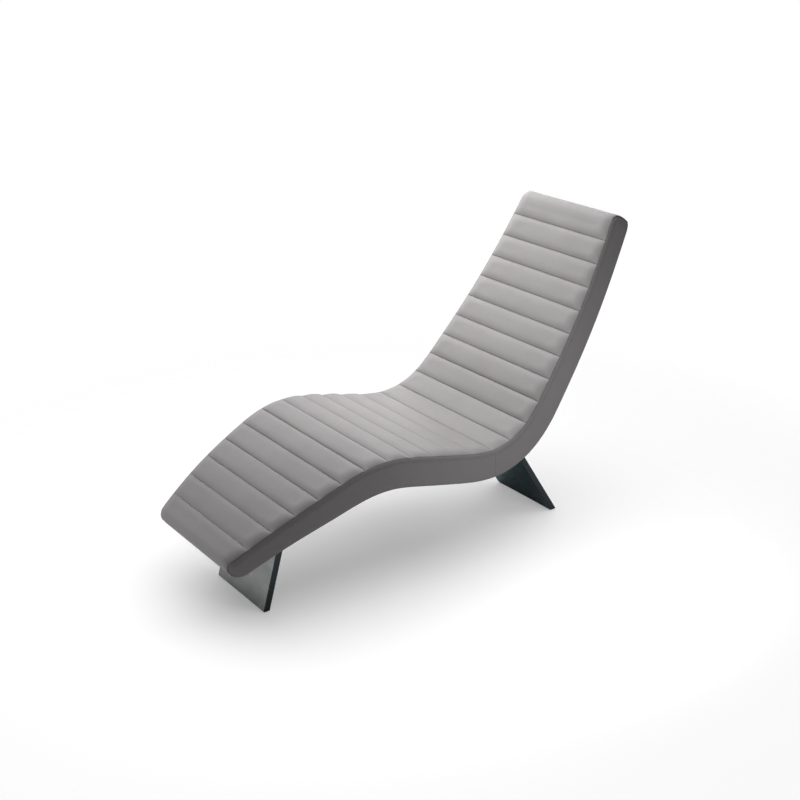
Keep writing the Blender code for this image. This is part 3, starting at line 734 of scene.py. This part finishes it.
def quilted_top():
    """The padded, quilted leather top, wrapped round both ends."""
    shape, spots, crease_shade_and_pucker = grid_mesh(len(ROWS), len(COLUMNS))
    loose = []
    for point, row, column in spots:
        s, d, out_s, out_d, height, padding = ROWS[row]
        inset, side = COLUMNS[column]
        wide = half_width(min(max(s, 0.0), LENGTH)) - edge_seam_inset(out_s)
        on_top = out_d == -1.0
        distance = seam_distance(s) if on_top else PITCH
        if inset is None:
            x = side * (wide - SHOULDER_REACH)
            inset = wide - abs(x)
        else:
            x = side * (wide - inset)
        tight = 1 - slack(s, x)
        pull = tight * seam_pull(s)
        height = CHANNEL_CROWN - (CHANNEL_CROWN - height) * tight
        share = edge_share(inset, out_s, fullness(s) if on_top and x < 0 else 0.0)
        rise = height * padding * share - max(tuck(distance) * pull, tuck(inset) * EDGE_TUCK)
        unevenness = noise.noise(Vector((x, s, 0)) * UNEVEN_SCALE)
        rise += UNEVEN_HEIGHT * unevenness * padding * min(height / CHANNEL_CROWN, share)
        point.co = place(s + out_s * rise, d + out_d * rise, x)
        # Painted shade: the colour darkens near the cross seams and the edge seam; the same number drives the
        # puckers.
        at_seam = pull * (1 - min(distance / CREASE_REACH, 1.0)) ** 2
        at_edge = EDGE_CREASE * (1 - min(inset / CREASE_REACH, 1.0)) ** 2
        point[crease_shade_and_pucker] = max(at_seam, at_edge)
        from_nose = min(s - HEAD_TOP_RADIUS, LENGTH - FOOT_TOP_RADIUS - s)
        free = height / CHANNEL_CROWN * share * smooth(from_nose / LOOSE_REACH)
        loose.append(free if on_top else 0.0)
    bmesh.ops.recalc_face_normals(shape, faces=shape.faces)
    piece = add_piece("quilted_top", shape, QUILTED_LEATHER, "quilted_leather", "quilted_cover")
    inflate(piece, loose)
    thicken(piece, LEATHER_THICKNESS)
    return piece


quilted = quilted_top()
print("quilted top:", len(quilted.data.vertices), "points")

# %% [markdown]
# ## The rolled edges
# Along its sides the top is sewn to the bands. The band's leather is turned over the edge, so a
# narrow rounded strip runs between the seam and the flat side. It follows the whole outline, top,
# noses and underside, and closes on itself. A curve with a bevel could draw it, but its section could
# not change on the way, and this one is broad along the top and narrow round the noses and below. So
# a grid is rolled up: its columns close into the section and its rows go once round the loop.

# %% Rolled edge strips
EDGE_PROFILE = (
    (0.0084, -0.0030), (0.0075, -0.0010), (0.0063, 0.0001), (0.0048, 0.0003), (0.0033, -0.0006),
    (0.0019, -0.0022), (0.0008, -0.0044), (0.0002, -0.0070), (0.0000, -0.0094), (0.0014, -0.0112),
)
NOSE_PROFILE = (
    (0.0060, -0.0040), (0.0052, -0.0020), (0.0042, -0.0008), (0.0032, -0.0006), (0.0022, -0.0012),
    (0.0013, -0.0022), (0.0006, -0.0034), (0.0002, -0.0046), (0.0002, -0.0058), (0.0016, -0.0070),
)
UNDER_STEP = 0.012
TOP_STEP = 0.008
SAME_POINT = 0.00001


def even_places(low, high, step):
    """Evenly spaced places from low to high, no further apart than the step."""
    count = math.ceil((high - low) / step)
    return [low + (high - low) * i / count for i in range(count + 1)]


def outline_loop():
    """The whole outline as a closed loop: head nose, top, foot nose and underside."""
    top = even_places(HEAD_TOP_RADIUS, LENGTH - FOOT_TOP_RADIUS, TOP_STEP)
    under = even_places(HEAD_BACK_RADIUS, LENGTH - FOOT_UNDER_RADIUS, UNDER_STEP)
    loop = head_nose()
    loop += [(s, 0.0, 0.0, -1.0) for s in top[1:-1]]
    loop += foot_nose()
    loop += [(s, thickness(s), 0.0, 1.0) for s in reversed(under[1:-1])]
    return loop


def strip_profile(out_d):
    """The strip's cross section at a place that faces out_d: broad along the top, narrow elsewhere."""
    share = smooth(1 + out_d)
    return [
        tuple(a + (b - a) * share for a, b in zip(spot, narrow))
        for spot, narrow in zip(EDGE_PROFILE, NOSE_PROFILE)
    ]


def swept_strip(loop, side):
    """The closed cross section, given as (inset from the side, outward), swept round the outline."""
    rings, ring = len(loop), len(EDGE_PROFILE)
    shape, spots = grid_mesh(rings + 1, ring + 1)[:2]
    for point, row, column in spots:
        s, d, out_s, out_d = loop[row % rings]
        inset, out = strip_profile(out_d)[column % ring]
        x = side * (half_width(min(max(s, 0.0), LENGTH)) - inset)
        point.co = place(s + out_s * out, d + out_d * out, x)
    bmesh.ops.remove_doubles(shape, verts=shape.verts, dist=SAME_POINT)
    bmesh.ops.recalc_face_normals(shape, faces=shape.faces)
    return shape


SIDES = ((1, "left"), (-1, "right"))
LOOP = outline_loop()
for side, word in SIDES:
    add_piece(f"rolled_edge_{word}", swept_strip(LOOP, side), PLAIN_LEATHER, "plain_leather")
print("rolled edges:", len(LOOP), "rings each")

# %% [markdown]
# ## The side bands
# Each side is closed by plain leather in two lengths. They meet in an upright seam beside the seat,
# where both edges are tucked in. The solid's flat face could stay, but it would look like board. A
# grid between the rolled edges can swell a little over the padding behind it and dip at the seam.
# Its rows are close together at the round ends, so the band follows the corners.

# %% Edges of a band
BAND_INSET = 0.0090
NOSE_BAND_INSET = 0.0040
BAND_END = LENGTH - NOSE_BAND_INSET
BAND_STEP = 0.007


def round_end(reach, radius):
    """How far a round corner has drawn back from its straight edge, a short reach from the end."""
    if reach >= radius:
        return 0.0
    return radius - math.sqrt(radius ** 2 - (radius - max(reach, 0.0)) ** 2)


def band_limits(s):
    """Depths of a band's upper and lower edge at s, inside the rolled edge."""
    from_head, from_foot = s - NOSE_BAND_INSET, BAND_END - s
    top = max(
        BAND_INSET,
        NOSE_BAND_INSET + round_end(from_head, HEAD_TOP_RADIUS - NOSE_BAND_INSET),
        NOSE_BAND_INSET + round_end(from_foot, FOOT_TOP_RADIUS - NOSE_BAND_INSET),
    )
    under = NOSE_BAND_INSET + max(
        round_end(from_head, HEAD_BACK_RADIUS - NOSE_BAND_INSET),
        round_end(from_foot, FOOT_UNDER_RADIUS - NOSE_BAND_INSET),
    )
    return top, thickness(s) - under


def band_places(low, high, low_round, high_round):
    """Places along a band, close together where its ends are round."""
    places = even_places(low + low_round, high - high_round, BAND_STEP)
    places += [low + low_round * t for t in gathered(ARC_STEPS)]
    places += [high - high_round * t for t in gathered(ARC_STEPS)]
    return sorted(set(round(s, 6) for s in places))


band_top, band_under = band_limits(BAND_JOIN_AT)
print("a band is", round((band_under - band_top) * 1000), "mm high at its join")

# %% Side bands
BAND_COLUMNS = 14
BAND_SET_BACK = 0.0006
BAND_SWELL = 0.0012
SWELL_POWER = 4
JOIN_TUCK = 0.0009
JOIN_REACH = 0.004
JOIN_CREASE = 0.35


def side_band(part, side, word, places):
    """One length of the leather side, tucked in at the join."""
    shape, spots, crease_shade_and_pucker = grid_mesh(len(places), BAND_COLUMNS + 1)
    for point, row, column in spots:
        s = places[row]
        top, under = band_limits(s)
        t = column / BAND_COLUMNS
        d = top + (under - top) * t
        near_join = max(0.0, 1 - abs(s - BAND_JOIN_AT) / JOIN_REACH)
        swollen = BAND_SWELL * (1 - (2 * t - 1) ** SWELL_POWER)
        out = swollen - BAND_SET_BACK - JOIN_TUCK * near_join ** 2
        point.co = place(s, d, side * (half_width(s) + out))
        # Painted shade: the colour darkens along the tucked join; the same number drives puckers there.
        point[crease_shade_and_pucker] = JOIN_CREASE * near_join
    bmesh.ops.recalc_face_normals(shape, faces=shape.faces)
    shape.faces.ensure_lookup_table()
    if (shape.faces[0].normal.x > 0) != (side > 0):
        bmesh.ops.reverse_faces(shape, faces=shape.faces)
    name = f"leather_band_{part}_{word}"
    piece = add_piece(name, shape, PLAIN_LEATHER, "plain_leather", f"side_band_{part}_{word}")
    thicken(piece, LEATHER_THICKNESS)
    return piece


BACK_PLACES = band_places(NOSE_BAND_INSET, BAND_JOIN_AT, HEAD_TOP_RADIUS, JOIN_REACH)
SEAT_PLACES = band_places(BAND_JOIN_AT, BAND_END, JOIN_REACH, FOOT_UNDER_RADIUS)
for side, word in SIDES:
    side_band("back", side, word, BACK_PLACES)
    side_band("seat", side, word, SEAT_PLACES)
print("side bands:", len(BACK_PLACES), "and", len(SEAT_PLACES), "rows")

# %% [markdown]
# ## The underside
# Under the slab lies one plain panel, between the ends of the quilted top. It is pulled tight, so a
# simulation would hardly move it. A grid bent to the slab is enough: nearly flat, with a rounded dip
# where the leather is sewn down along its border. A sine spaces its columns closely at both edges.

# %% Underside panel
UNDER_INSET = 0.0045
UNDER_SWELL = 0.0015
UNDER_ROWS = 150
UNDER_COLUMNS = 28
UNDER_ROUND = 0.018


def underside_panel():
    """The plain leather under the slab."""
    shape, spots, crease_shade_and_pucker = grid_mesh(UNDER_ROWS + 1, UNDER_COLUMNS + 1)
    low, high = HEAD_LAP, LENGTH - FOOT_LAP
    for point, row, column in spots:
        s = low + (high - low) * row / UNDER_ROWS
        wide = half_width(s) - UNDER_INSET
        x = wide * math.sin(math.pi / 2 * (2 * column / UNDER_COLUMNS - 1))
        border = min(wide - abs(x), s - low, high - s)
        out = UNDER_SWELL * (math.sqrt(1 - (1 - min(border / UNDER_ROUND, 1.0)) ** 2) - 1)
        point.co = place(s, thickness(s) + out, x)
        # Painted shade: the colour darkens along the sewn-down border, where the leather dips.
        point[crease_shade_and_pucker] = (1 - min(border / CREASE_REACH, 1.0)) ** 2
    bmesh.ops.recalc_face_normals(shape, faces=shape.faces)
    shape.faces.ensure_lookup_table()
    if shape.faces[0].normal.z > 0:
        bmesh.ops.reverse_faces(shape, faces=shape.faces)
    piece = add_piece("underside_panel", shape, PLAIN_LEATHER, "plain_leather", "underside_cover")
    thicken(piece, LEATHER_THICKNESS)
    return piece


panel = underside_panel()
print("underside panel:", len(panel.data.vertices), "points")

# %% [markdown]
# ## Topstitching
# Two rows of grey thread hold the rolled edge down: one beside the quilted top and one on the band.
# A bump could draw them, but only real thread throws a shadow and stays part of the mesh.
# A stitch is a short bead that sinks into the leather at both ends. Walking the outline at an even
# pace gives each bead its place and its direction. A bead has few faces, because there are hundreds.

# %% Thread material
THREAD_COLOUR = (0.20, 0.19, 0.188)
THREAD_DARK = 0.7
THREAD_LIGHT = 1.2
THREAD_ROUGHNESS = 0.7
TWIST_SCALE = 2500.0


def thread_material():
    """Twisted polyester thread, a little darker than the leather."""
    material, tree, shader, coords = new_material("grey thread")
    twist = pattern(tree, "ShaderNodeTexNoise", coords, Scale=TWIST_SCALE, Detail=1.0)
    dark, light = scaled(THREAD_COLOUR, THREAD_DARK), scaled(THREAD_COLOUR, THREAD_LIGHT)
    feed(tree, shader.inputs["Base Color"], ramp(tree, twist["Fac"], dark, light))
    shader.inputs["Roughness"].default_value = THREAD_ROUGHNESS
    return material


GREY_THREAD = thread_material()
print("thread:", GREY_THREAD.name)

# %% Stitches
STITCH_PITCH = 0.0046
STITCH_LENGTH = 0.0036
STITCH_BATCH = 25
STITCH_ROWS = ((0.0056, 0.0006), (0.0000, -0.0082))
THREAD_RADIUS = 0.00042
BEAD_SEGMENTS = 6
BEAD_RINGS = 4


def outline_walk(loop, pitch):
    """Outline points one pitch apart, each with the direction along the outline in s and d."""
    found, left = [], 0.0
    for here, after in zip(loop, loop[1:]):
        ds, dd = after[0] - here[0], after[1] - here[1]
        run = math.hypot(ds, dd)
        at = left
        while at < run:
            t = at / run
            spot = tuple(a + (b - a) * t for a, b in zip(here, after))
            found.append((*spot, ds / run, dd / run))
            at += pitch
        left = at - run
    return found


def sew(shape, walk, side, inset, out):
    """Stitches at an inset from the side and a height over the outline."""
    for s, d, out_s, out_d, along_s, along_d in walk:
        ends = []
        for reach in (-STITCH_LENGTH / 2, STITCH_LENGTH / 2):
            at_s = s + out_s * out + along_s * reach
            at_d = d + out_d * out + along_d * reach
            x = side * (half_width(min(max(at_s, 0.0), LENGTH)) - inset)
            ends.append(place(at_s, at_d, x))
        middle = (ends[0] + ends[1]) / 2
        turn = (ends[1] - ends[0]).to_track_quat("Z", "Y").to_matrix().to_4x4()
        stretch = Matrix.Diagonal((THREAD_RADIUS, THREAD_RADIUS, STITCH_LENGTH / 2, 1))
        bead = Matrix.Translation(middle) @ turn @ stretch
        bmesh.ops.create_uvsphere(
            shape, u_segments=BEAD_SEGMENTS, v_segments=BEAD_RINGS, radius=1, matrix=bead,
        )


def topstitch(walk, side):
    """All stitches of one side, sewn in small batches because an operator slows down on a large mesh."""
    shape = bmesh.new()
    sewn = bpy.data.meshes.new("batch of stitches")
    for inset, out in STITCH_ROWS:
        for first in range(0, len(walk), STITCH_BATCH):
            batch = bmesh.new()
            sew(batch, walk[first:first + STITCH_BATCH], side, inset, out)
            batch.to_mesh(sewn)
            batch.free()
            shape.from_mesh(sewn)
    bpy.data.meshes.remove(sewn)
    return shape


WALK = outline_walk([row[:4] for row in ROWS if row[3] == -1.0], STITCH_PITCH)
for side, word in SIDES:
    add_piece(f"topstitch_{word}", topstitch(WALK, side), GREY_THREAD, "plain_leather")
print("stitches:", len(WALK) * len(STITCH_ROWS), "on each side")

# %% [markdown]
# ## Metal legs
# The legs are flat steel plates with a dark polished plating. Their broad faces mirror the room, with
# faint cloudy marks from polishing, and a painted reflection makes them lighter towards the floor and
# darker higher up. At a flat angle the plating turns greenish blue, which is the shader's Specular
# Tint. The narrow sides and a thin border are nearly black. The plates have the right shape in the
# frame already, so only their material is made here. The sides could have a material of their own,
# but a CAD mesh isn't to be changed, so the direction of the surface and the distance from the middle
# tell them apart.

# %% Leg metal
# Painted reflection: the plating colour is raised at the floor and lowered from this height up.
LEG_COLOUR = (0.205, 0.207, 0.206)
LEG_FOOT_REFLECTION_TONE = 1.25
LEG_TOP_SHADE_TONE = 0.70
LEG_SHADE_HEIGHT = 0.20
LEG_SIDE_COLOUR = (0.046, 0.052, 0.054)
LEG_HALF_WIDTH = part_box("leg_plate_front")[1].x
LEG_BORDER = 0.003
LEG_EDGE_TINT = (0.38, 0.52, 0.55)
LEG_ROUGH_LOW = 0.23
LEG_ROUGH_HIGH = 0.29
SIDE_FACING = 0.9
CLOUD_SCALE = 28.0
CLOUD_DETAIL = 6.0
CLOUD_ROUGHNESS = 0.65
CLOUD_SPREAD = 0.05
POLISH_SCALE = 260.0
POLISH_STRENGTH = 0.02
POLISH_DEPTH = 0.0005


def leg_sides(tree, across):
    """1 on the narrow sides of a leg plate and along its border, and 0 on its broad faces."""
    facing = split(tree, tree.nodes.new("ShaderNodeNewGeometry").outputs["True Normal"])
    sideways = arithmetic(tree, "ABSOLUTE", facing["X"], 0.0)
    from_middle = arithmetic(tree, "ABSOLUTE", across, 0.0)
    side = arithmetic(tree, "GREATER_THAN", sideways, SIDE_FACING)
    border = arithmetic(tree, "GREATER_THAN", from_middle, LEG_HALF_WIDTH - LEG_BORDER)
    return arithmetic(tree, "MAXIMUM", side, border)


def leg_metal():
    """Dark polished plating with a painted reflection that is lighter towards the floor, cloudy on the broad
    faces and nearly black on the narrow sides.
    """
    material, tree, shader, coords = new_material("dark plated steel")
    spot = split(tree, coords)
    clouds = pattern(
        tree, "ShaderNodeTexNoise", coords, Scale=CLOUD_SCALE, Detail=CLOUD_DETAIL, Roughness=CLOUD_ROUGHNESS,
    )
    # Painted reflection: the colour ramps from lighter at the floor to darker at 0.2 m and above.
    height = arithmetic(tree, "DIVIDE", spot["Z"], LEG_SHADE_HEIGHT)
    painted_reflection = ramp(tree, height, scaled(LEG_COLOUR, LEG_FOOT_REFLECTION_TONE), scaled(LEG_COLOUR, LEG_TOP_SHADE_TONE))
    cloudy = uneven(tree, clouds["Fac"], grey(1.0), CLOUD_SPREAD)
    plated = mixed(tree, "MULTIPLY", 1.0, painted_reflection, cloudy)
    coated = mixed(tree, "MIX", leg_sides(tree, spot["X"]), plated, (*LEG_SIDE_COLOUR, 1))
    feed(tree, shader.inputs["Base Color"], coated)
    shader.inputs["Metallic"].default_value = 1.0
    shader.inputs["Specular Tint"].default_value = (*LEG_EDGE_TINT, 1)
    gloss = ramp(tree, clouds["Fac"], grey(LEG_ROUGH_LOW), grey(LEG_ROUGH_HIGH), *NOISE_RANGE)
    feed(tree, shader.inputs["Roughness"], gloss)
    polish = pattern(tree, "ShaderNodeTexNoise", coords, Scale=POLISH_SCALE, Detail=2.0)
    feed(tree, shader.inputs["Normal"], bumped(tree, polish["Fac"], POLISH_STRENGTH, POLISH_DEPTH))
    return material


PLATED_STEEL = leg_metal()
print("leg metal:", PLATED_STEEL.name)


# %% Dress the legs
def dress(prefix, material):
    """Give every node whose name starts with the prefix its material."""
    found = [node for name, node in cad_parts.items() if name.startswith(prefix)]
    for node in found:
        node.data.materials.clear()
        node.data.materials.append(material)
    return len(found)


print("leg metal on", dress("leg_plate_", PLATED_STEEL) + dress("leg_flange_", PLATED_STEEL), "nodes")

# %% [markdown]
# ## What lies inside
# Foam, webbing and the steel frame are closed in by the leather. One grey could do for all of them,
# because nobody sees them. They get true materials all the same, because someone may take the chaise
# apart: open-celled foam, woven straps, painted tubes, blackened bolts and felt under the legs. Most
# of these are one colour with a fine rough surface, so one function makes them from a few numbers.

# %% Inner materials
SPECKLE = 0.15
SPECKLE_STRENGTH = 0.4
WEAVE_DARK = 0.6
WEAVE_LIGHT = 1.3
WEAVE_ROUGHNESS = 0.85
WEAVE_STRENGTH = 0.5
WEAVE_DEPTH = 0.0004


def speckled(name, colour, scale, depth, roughness, metallic=0.0):
    """A plain finish with uneven colour and a fine rough surface."""
    material, tree, shader, coords = new_material(name)
    grain = pattern(tree, "ShaderNodeTexNoise", coords, Scale=scale, Detail=4.0)
    feed(tree, shader.inputs["Base Color"], uneven(tree, grain["Fac"], colour, SPECKLE))
    shader.inputs["Roughness"].default_value = roughness
    shader.inputs["Metallic"].default_value = metallic
    feed(tree, shader.inputs["Normal"], bumped(tree, grain["Fac"], SPECKLE_STRENGTH, depth))
    return material


def woven(name, colour, scale):
    """Elastic webbing: two crossed waves make the weave."""
    material, tree, shader, coords = new_material(name)
    heights = [
        pattern(tree, "ShaderNodeTexWave", coords, Scale=scale, bands_direction=direction)["Fac"]
        for direction in ("X", "Y")
    ]
    weave = arithmetic(tree, "MULTIPLY", *heights)
    dyed = ramp(tree, weave, scaled(colour, WEAVE_DARK), scaled(colour, WEAVE_LIGHT))
    feed(tree, shader.inputs["Base Color"], dyed)
    shader.inputs["Roughness"].default_value = WEAVE_ROUGHNESS
    feed(tree, shader.inputs["Normal"], bumped(tree, weave, WEAVE_STRENGTH, WEAVE_DEPTH))
    return material


INNER_FINISHES = {
    "upper_foam_": speckled("soft foam", (0.62, 0.66, 0.70), 420.0, 0.0008, 0.95),
    "side_padding_": speckled("side padding", (0.66, 0.68, 0.70), 420.0, 0.0008, 0.95),
    "lower_foam_": speckled("firm foam", (0.68, 0.62, 0.47), 380.0, 0.0008, 0.95),
    "elastic_strap_": woven("elastic webbing", (0.05, 0.05, 0.055), 240.0),
    "side_rail_": speckled("painted frame", (0.06, 0.06, 0.065), 900.0, 0.0001, 0.45, 0.5),
    "cross_tube_": speckled("painted tube", (0.06, 0.06, 0.065), 900.0, 0.0001, 0.45, 0.5),
    "leg_bracket_": speckled("painted bracket", (0.06, 0.06, 0.065), 900.0, 0.0001, 0.45, 0.5),
    "leg_bolt_": speckled("blackened bolt", (0.035, 0.035, 0.038), 1200.0, 0.0001, 0.38, 0.9),
    "floor_strip_": speckled("grey felt", (0.055, 0.055, 0.056), 1500.0, 0.0005, 0.98),
}
for prefix, material in INNER_FINISHES.items():
    print(material.name, "on", dress(prefix, material), "nodes")

# %% [markdown]
# ## Floor
# The picture has a white ground that fades into white, with one broad soft shadow. A large plane would
# show a horizon, so the floor is a pale disc that thins out to nothing towards its rim. It glows a
# little for the camera alone, which keeps the ground white while the shadow stays, and it throws back
# less light than it shows, so the underside of the slab stays dark.

# %% Floor
FLOOR_RADIUS = 3.2
FLOOR_SEGMENTS = 96
FLOOR_FADE_FROM = 0.9
FLOOR_FADE_TO = 2.2
FLOOR_COLOUR = (0.80, 0.80, 0.80)
FLOOR_ROUGHNESS = 0.9
FLOOR_SPECULAR = 0.1
FLOOR_GLOW = 0.30
FLOOR_BOUNCE = 0.60


def floor_material():
    """Pale matt floor that thins out from the middle to the rim."""
    material, tree, shader, coords = new_material("pale floor")
    length = add_node(tree, "ShaderNodeVectorMath", operation="LENGTH")
    feed(tree, length.inputs[0], coords)
    fade = add_node(tree, "ShaderNodeMapRange", interpolation_type="SMOOTHSTEP")
    fade.inputs["From Min"].default_value = FLOOR_FADE_FROM
    fade.inputs["From Max"].default_value = FLOOR_FADE_TO
    fade.inputs["To Min"].default_value = 1.0
    fade.inputs["To Max"].default_value = 0.0
    feed(tree, fade.inputs["Value"], length.outputs["Value"])
    feed(tree, shader.inputs["Alpha"], fade.outputs["Result"])
    path = tree.nodes.new("ShaderNodeLightPath").outputs
    shader.inputs["Emission Color"].default_value = (1, 1, 1, 1)
    glow = arithmetic(tree, "MULTIPLY", path["Is Camera Ray"], FLOOR_GLOW)
    feed(tree, shader.inputs["Emission Strength"], glow)
    dulled = ramp(tree, path["Is Diffuse Ray"], FLOOR_COLOUR, scaled(FLOOR_COLOUR, FLOOR_BOUNCE))
    feed(tree, shader.inputs["Base Color"], dulled)
    shader.inputs["Roughness"].default_value = FLOOR_ROUGHNESS
    shader.inputs["Specular IOR Level"].default_value = FLOOR_SPECULAR
    return material


def add_floor():
    """The round floor under the chaise."""
    shape = bmesh.new()
    bmesh.ops.create_circle(shape, cap_ends=True, segments=FLOOR_SEGMENTS, radius=FLOOR_RADIUS)
    mesh = bpy.data.meshes.new("floor")
    shape.to_mesh(mesh)
    shape.free()
    mesh.materials.append(floor_material())
    floor = bpy.data.objects.new("floor", mesh)
    bpy.context.scene.collection.objects.link(floor)
    return floor


floor = add_floor()
print("floor radius", FLOOR_RADIUS, "m")

# %% [markdown]
# ## Room and light
# The room is a dim even grey, so the sides stay dark, but the camera sees it as white paper. One big
# lamp over everything would light the foot as brightly as the head. In the picture the light falls off
# towards the foot and rakes over the seams, so five area lamps share the work:
# - the key, a large soft box behind and to one side, aimed at the head and narrowed by a grid
# - a box that lights only the floor and makes the broad shadow
# - a small fill beside the back, which opens up the near side band
# - a long low card in front of the foot, for the shin and the nose
# - a narrow lamp behind the back, for the seat
# Light linking keeps the key, the card and the narrow lamp off the floor.

# %% Room
ROOM_LIGHT = 0.10


def add_room():
    """A dim even room that the camera sees as white."""
    world = bpy.data.worlds.new("room")
    world.use_nodes = True
    tree = world.node_tree
    output = tree.nodes["World Output"]
    dim = tree.nodes["Background"]
    dim.inputs["Color"].default_value = (1, 1, 1, 1)
    dim.inputs["Strength"].default_value = ROOM_LIGHT
    paper = add_node(tree, "ShaderNodeBackground", Color=(1, 1, 1, 1), Strength=1.0)
    either = tree.nodes.new("ShaderNodeMixShader")
    path = tree.nodes.new("ShaderNodeLightPath")
    feed(tree, either.inputs["Fac"], path.outputs["Is Camera Ray"])
    feed(tree, either.inputs[1], dim.outputs["Background"])
    feed(tree, either.inputs[2], paper.outputs["Background"])
    feed(tree, output.inputs["Surface"], either.outputs["Shader"])
    bpy.context.scene.world = world


add_room()
bpy.context.scene.view_settings.view_transform = "Standard"
print("room light", ROOM_LIGHT)

# %% Lights
KEY_PLACE = (-1.20, 0.40, 2.10)
KEY_AIM = (0.0, 0.80, 0.85)
KEY_SIZE = (2.3, 2.3)
KEY_POWER = 52.0
KEY_SPREAD = 120
FLOOR_BOX_PLACE = (-0.3, 0.0, 2.2)
FLOOR_BOX_AIM = (-0.3, 0.001, 0.0)
FLOOR_BOX_SIZE = (4.0, 4.0)
FLOOR_BOX_POWER = 95.0
FILL_PLACE = (1.25, 0.35, 0.80)
FILL_AIM = (0.3, 0.24, 0.52)
FILL_SIZE = (0.6, 0.6)
FILL_POWER = 2.4
FILL_SPREAD = 130
CARD_PLACE = (-1.2, -2.6, 0.25)
CARD_AIM = (0.0, -0.6, 0.30)
CARD_SIZE = (2.4, 0.5)
CARD_POWER = 28.0
BACKDROP_PLACE = (-1.9, 2.2, 1.45)
BACKDROP_AIM = (-0.1, -0.15, 0.42)
BACKDROP_SIZE = (1.2, 1.0)
BACKDROP_POWER = 5.5
BACKDROP_SPREAD = 70


def add_softbox(name, at, aim, size, power, spread=180):
    """A rectangular area light at a place, turned to what it lights; a grid narrows its spread."""
    lamp = bpy.data.lights.new(name, "AREA")
    lamp.shape = "RECTANGLE"
    lamp.size, lamp.size_y = size
    lamp.energy = power
    lamp.spread = math.radians(spread)
    box = bpy.data.objects.new(name, lamp)
    box.location = at
    box.rotation_euler = (Vector(aim) - Vector(at)).to_track_quat("-Z", "Y").to_euler()
    box.visible_camera = False
    bpy.context.scene.collection.objects.link(box)
    return box


def light_floor(box, state):
    """Let a light reach the floor alone, or everything but the floor."""
    chosen = bpy.data.collections.new(f"floor for {box.name}")
    chosen.objects.link(floor)
    chosen.collection_objects[0].light_linking.link_state = state
    box.light_linking.receiver_collection = chosen


key_box = add_softbox("key_softbox", KEY_PLACE, KEY_AIM, KEY_SIZE, KEY_POWER, KEY_SPREAD)
light_floor(key_box, "EXCLUDE")
floor_box = add_softbox("floor_softbox", FLOOR_BOX_PLACE, FLOOR_BOX_AIM, FLOOR_BOX_SIZE, FLOOR_BOX_POWER)
light_floor(floor_box, "INCLUDE")
add_softbox("fill_softbox", FILL_PLACE, FILL_AIM, FILL_SIZE, FILL_POWER, FILL_SPREAD)
card = add_softbox("white_card", CARD_PLACE, CARD_AIM, CARD_SIZE, CARD_POWER)
light_floor(card, "EXCLUDE")
backdrop = add_softbox(
    "backdrop", BACKDROP_PLACE, BACKDROP_AIM, BACKDROP_SIZE, BACKDROP_POWER, BACKDROP_SPREAD,
)
light_floor(backdrop, "EXCLUDE")
print("key", KEY_POWER, "W and floor box", FLOOR_BOX_POWER, "W")
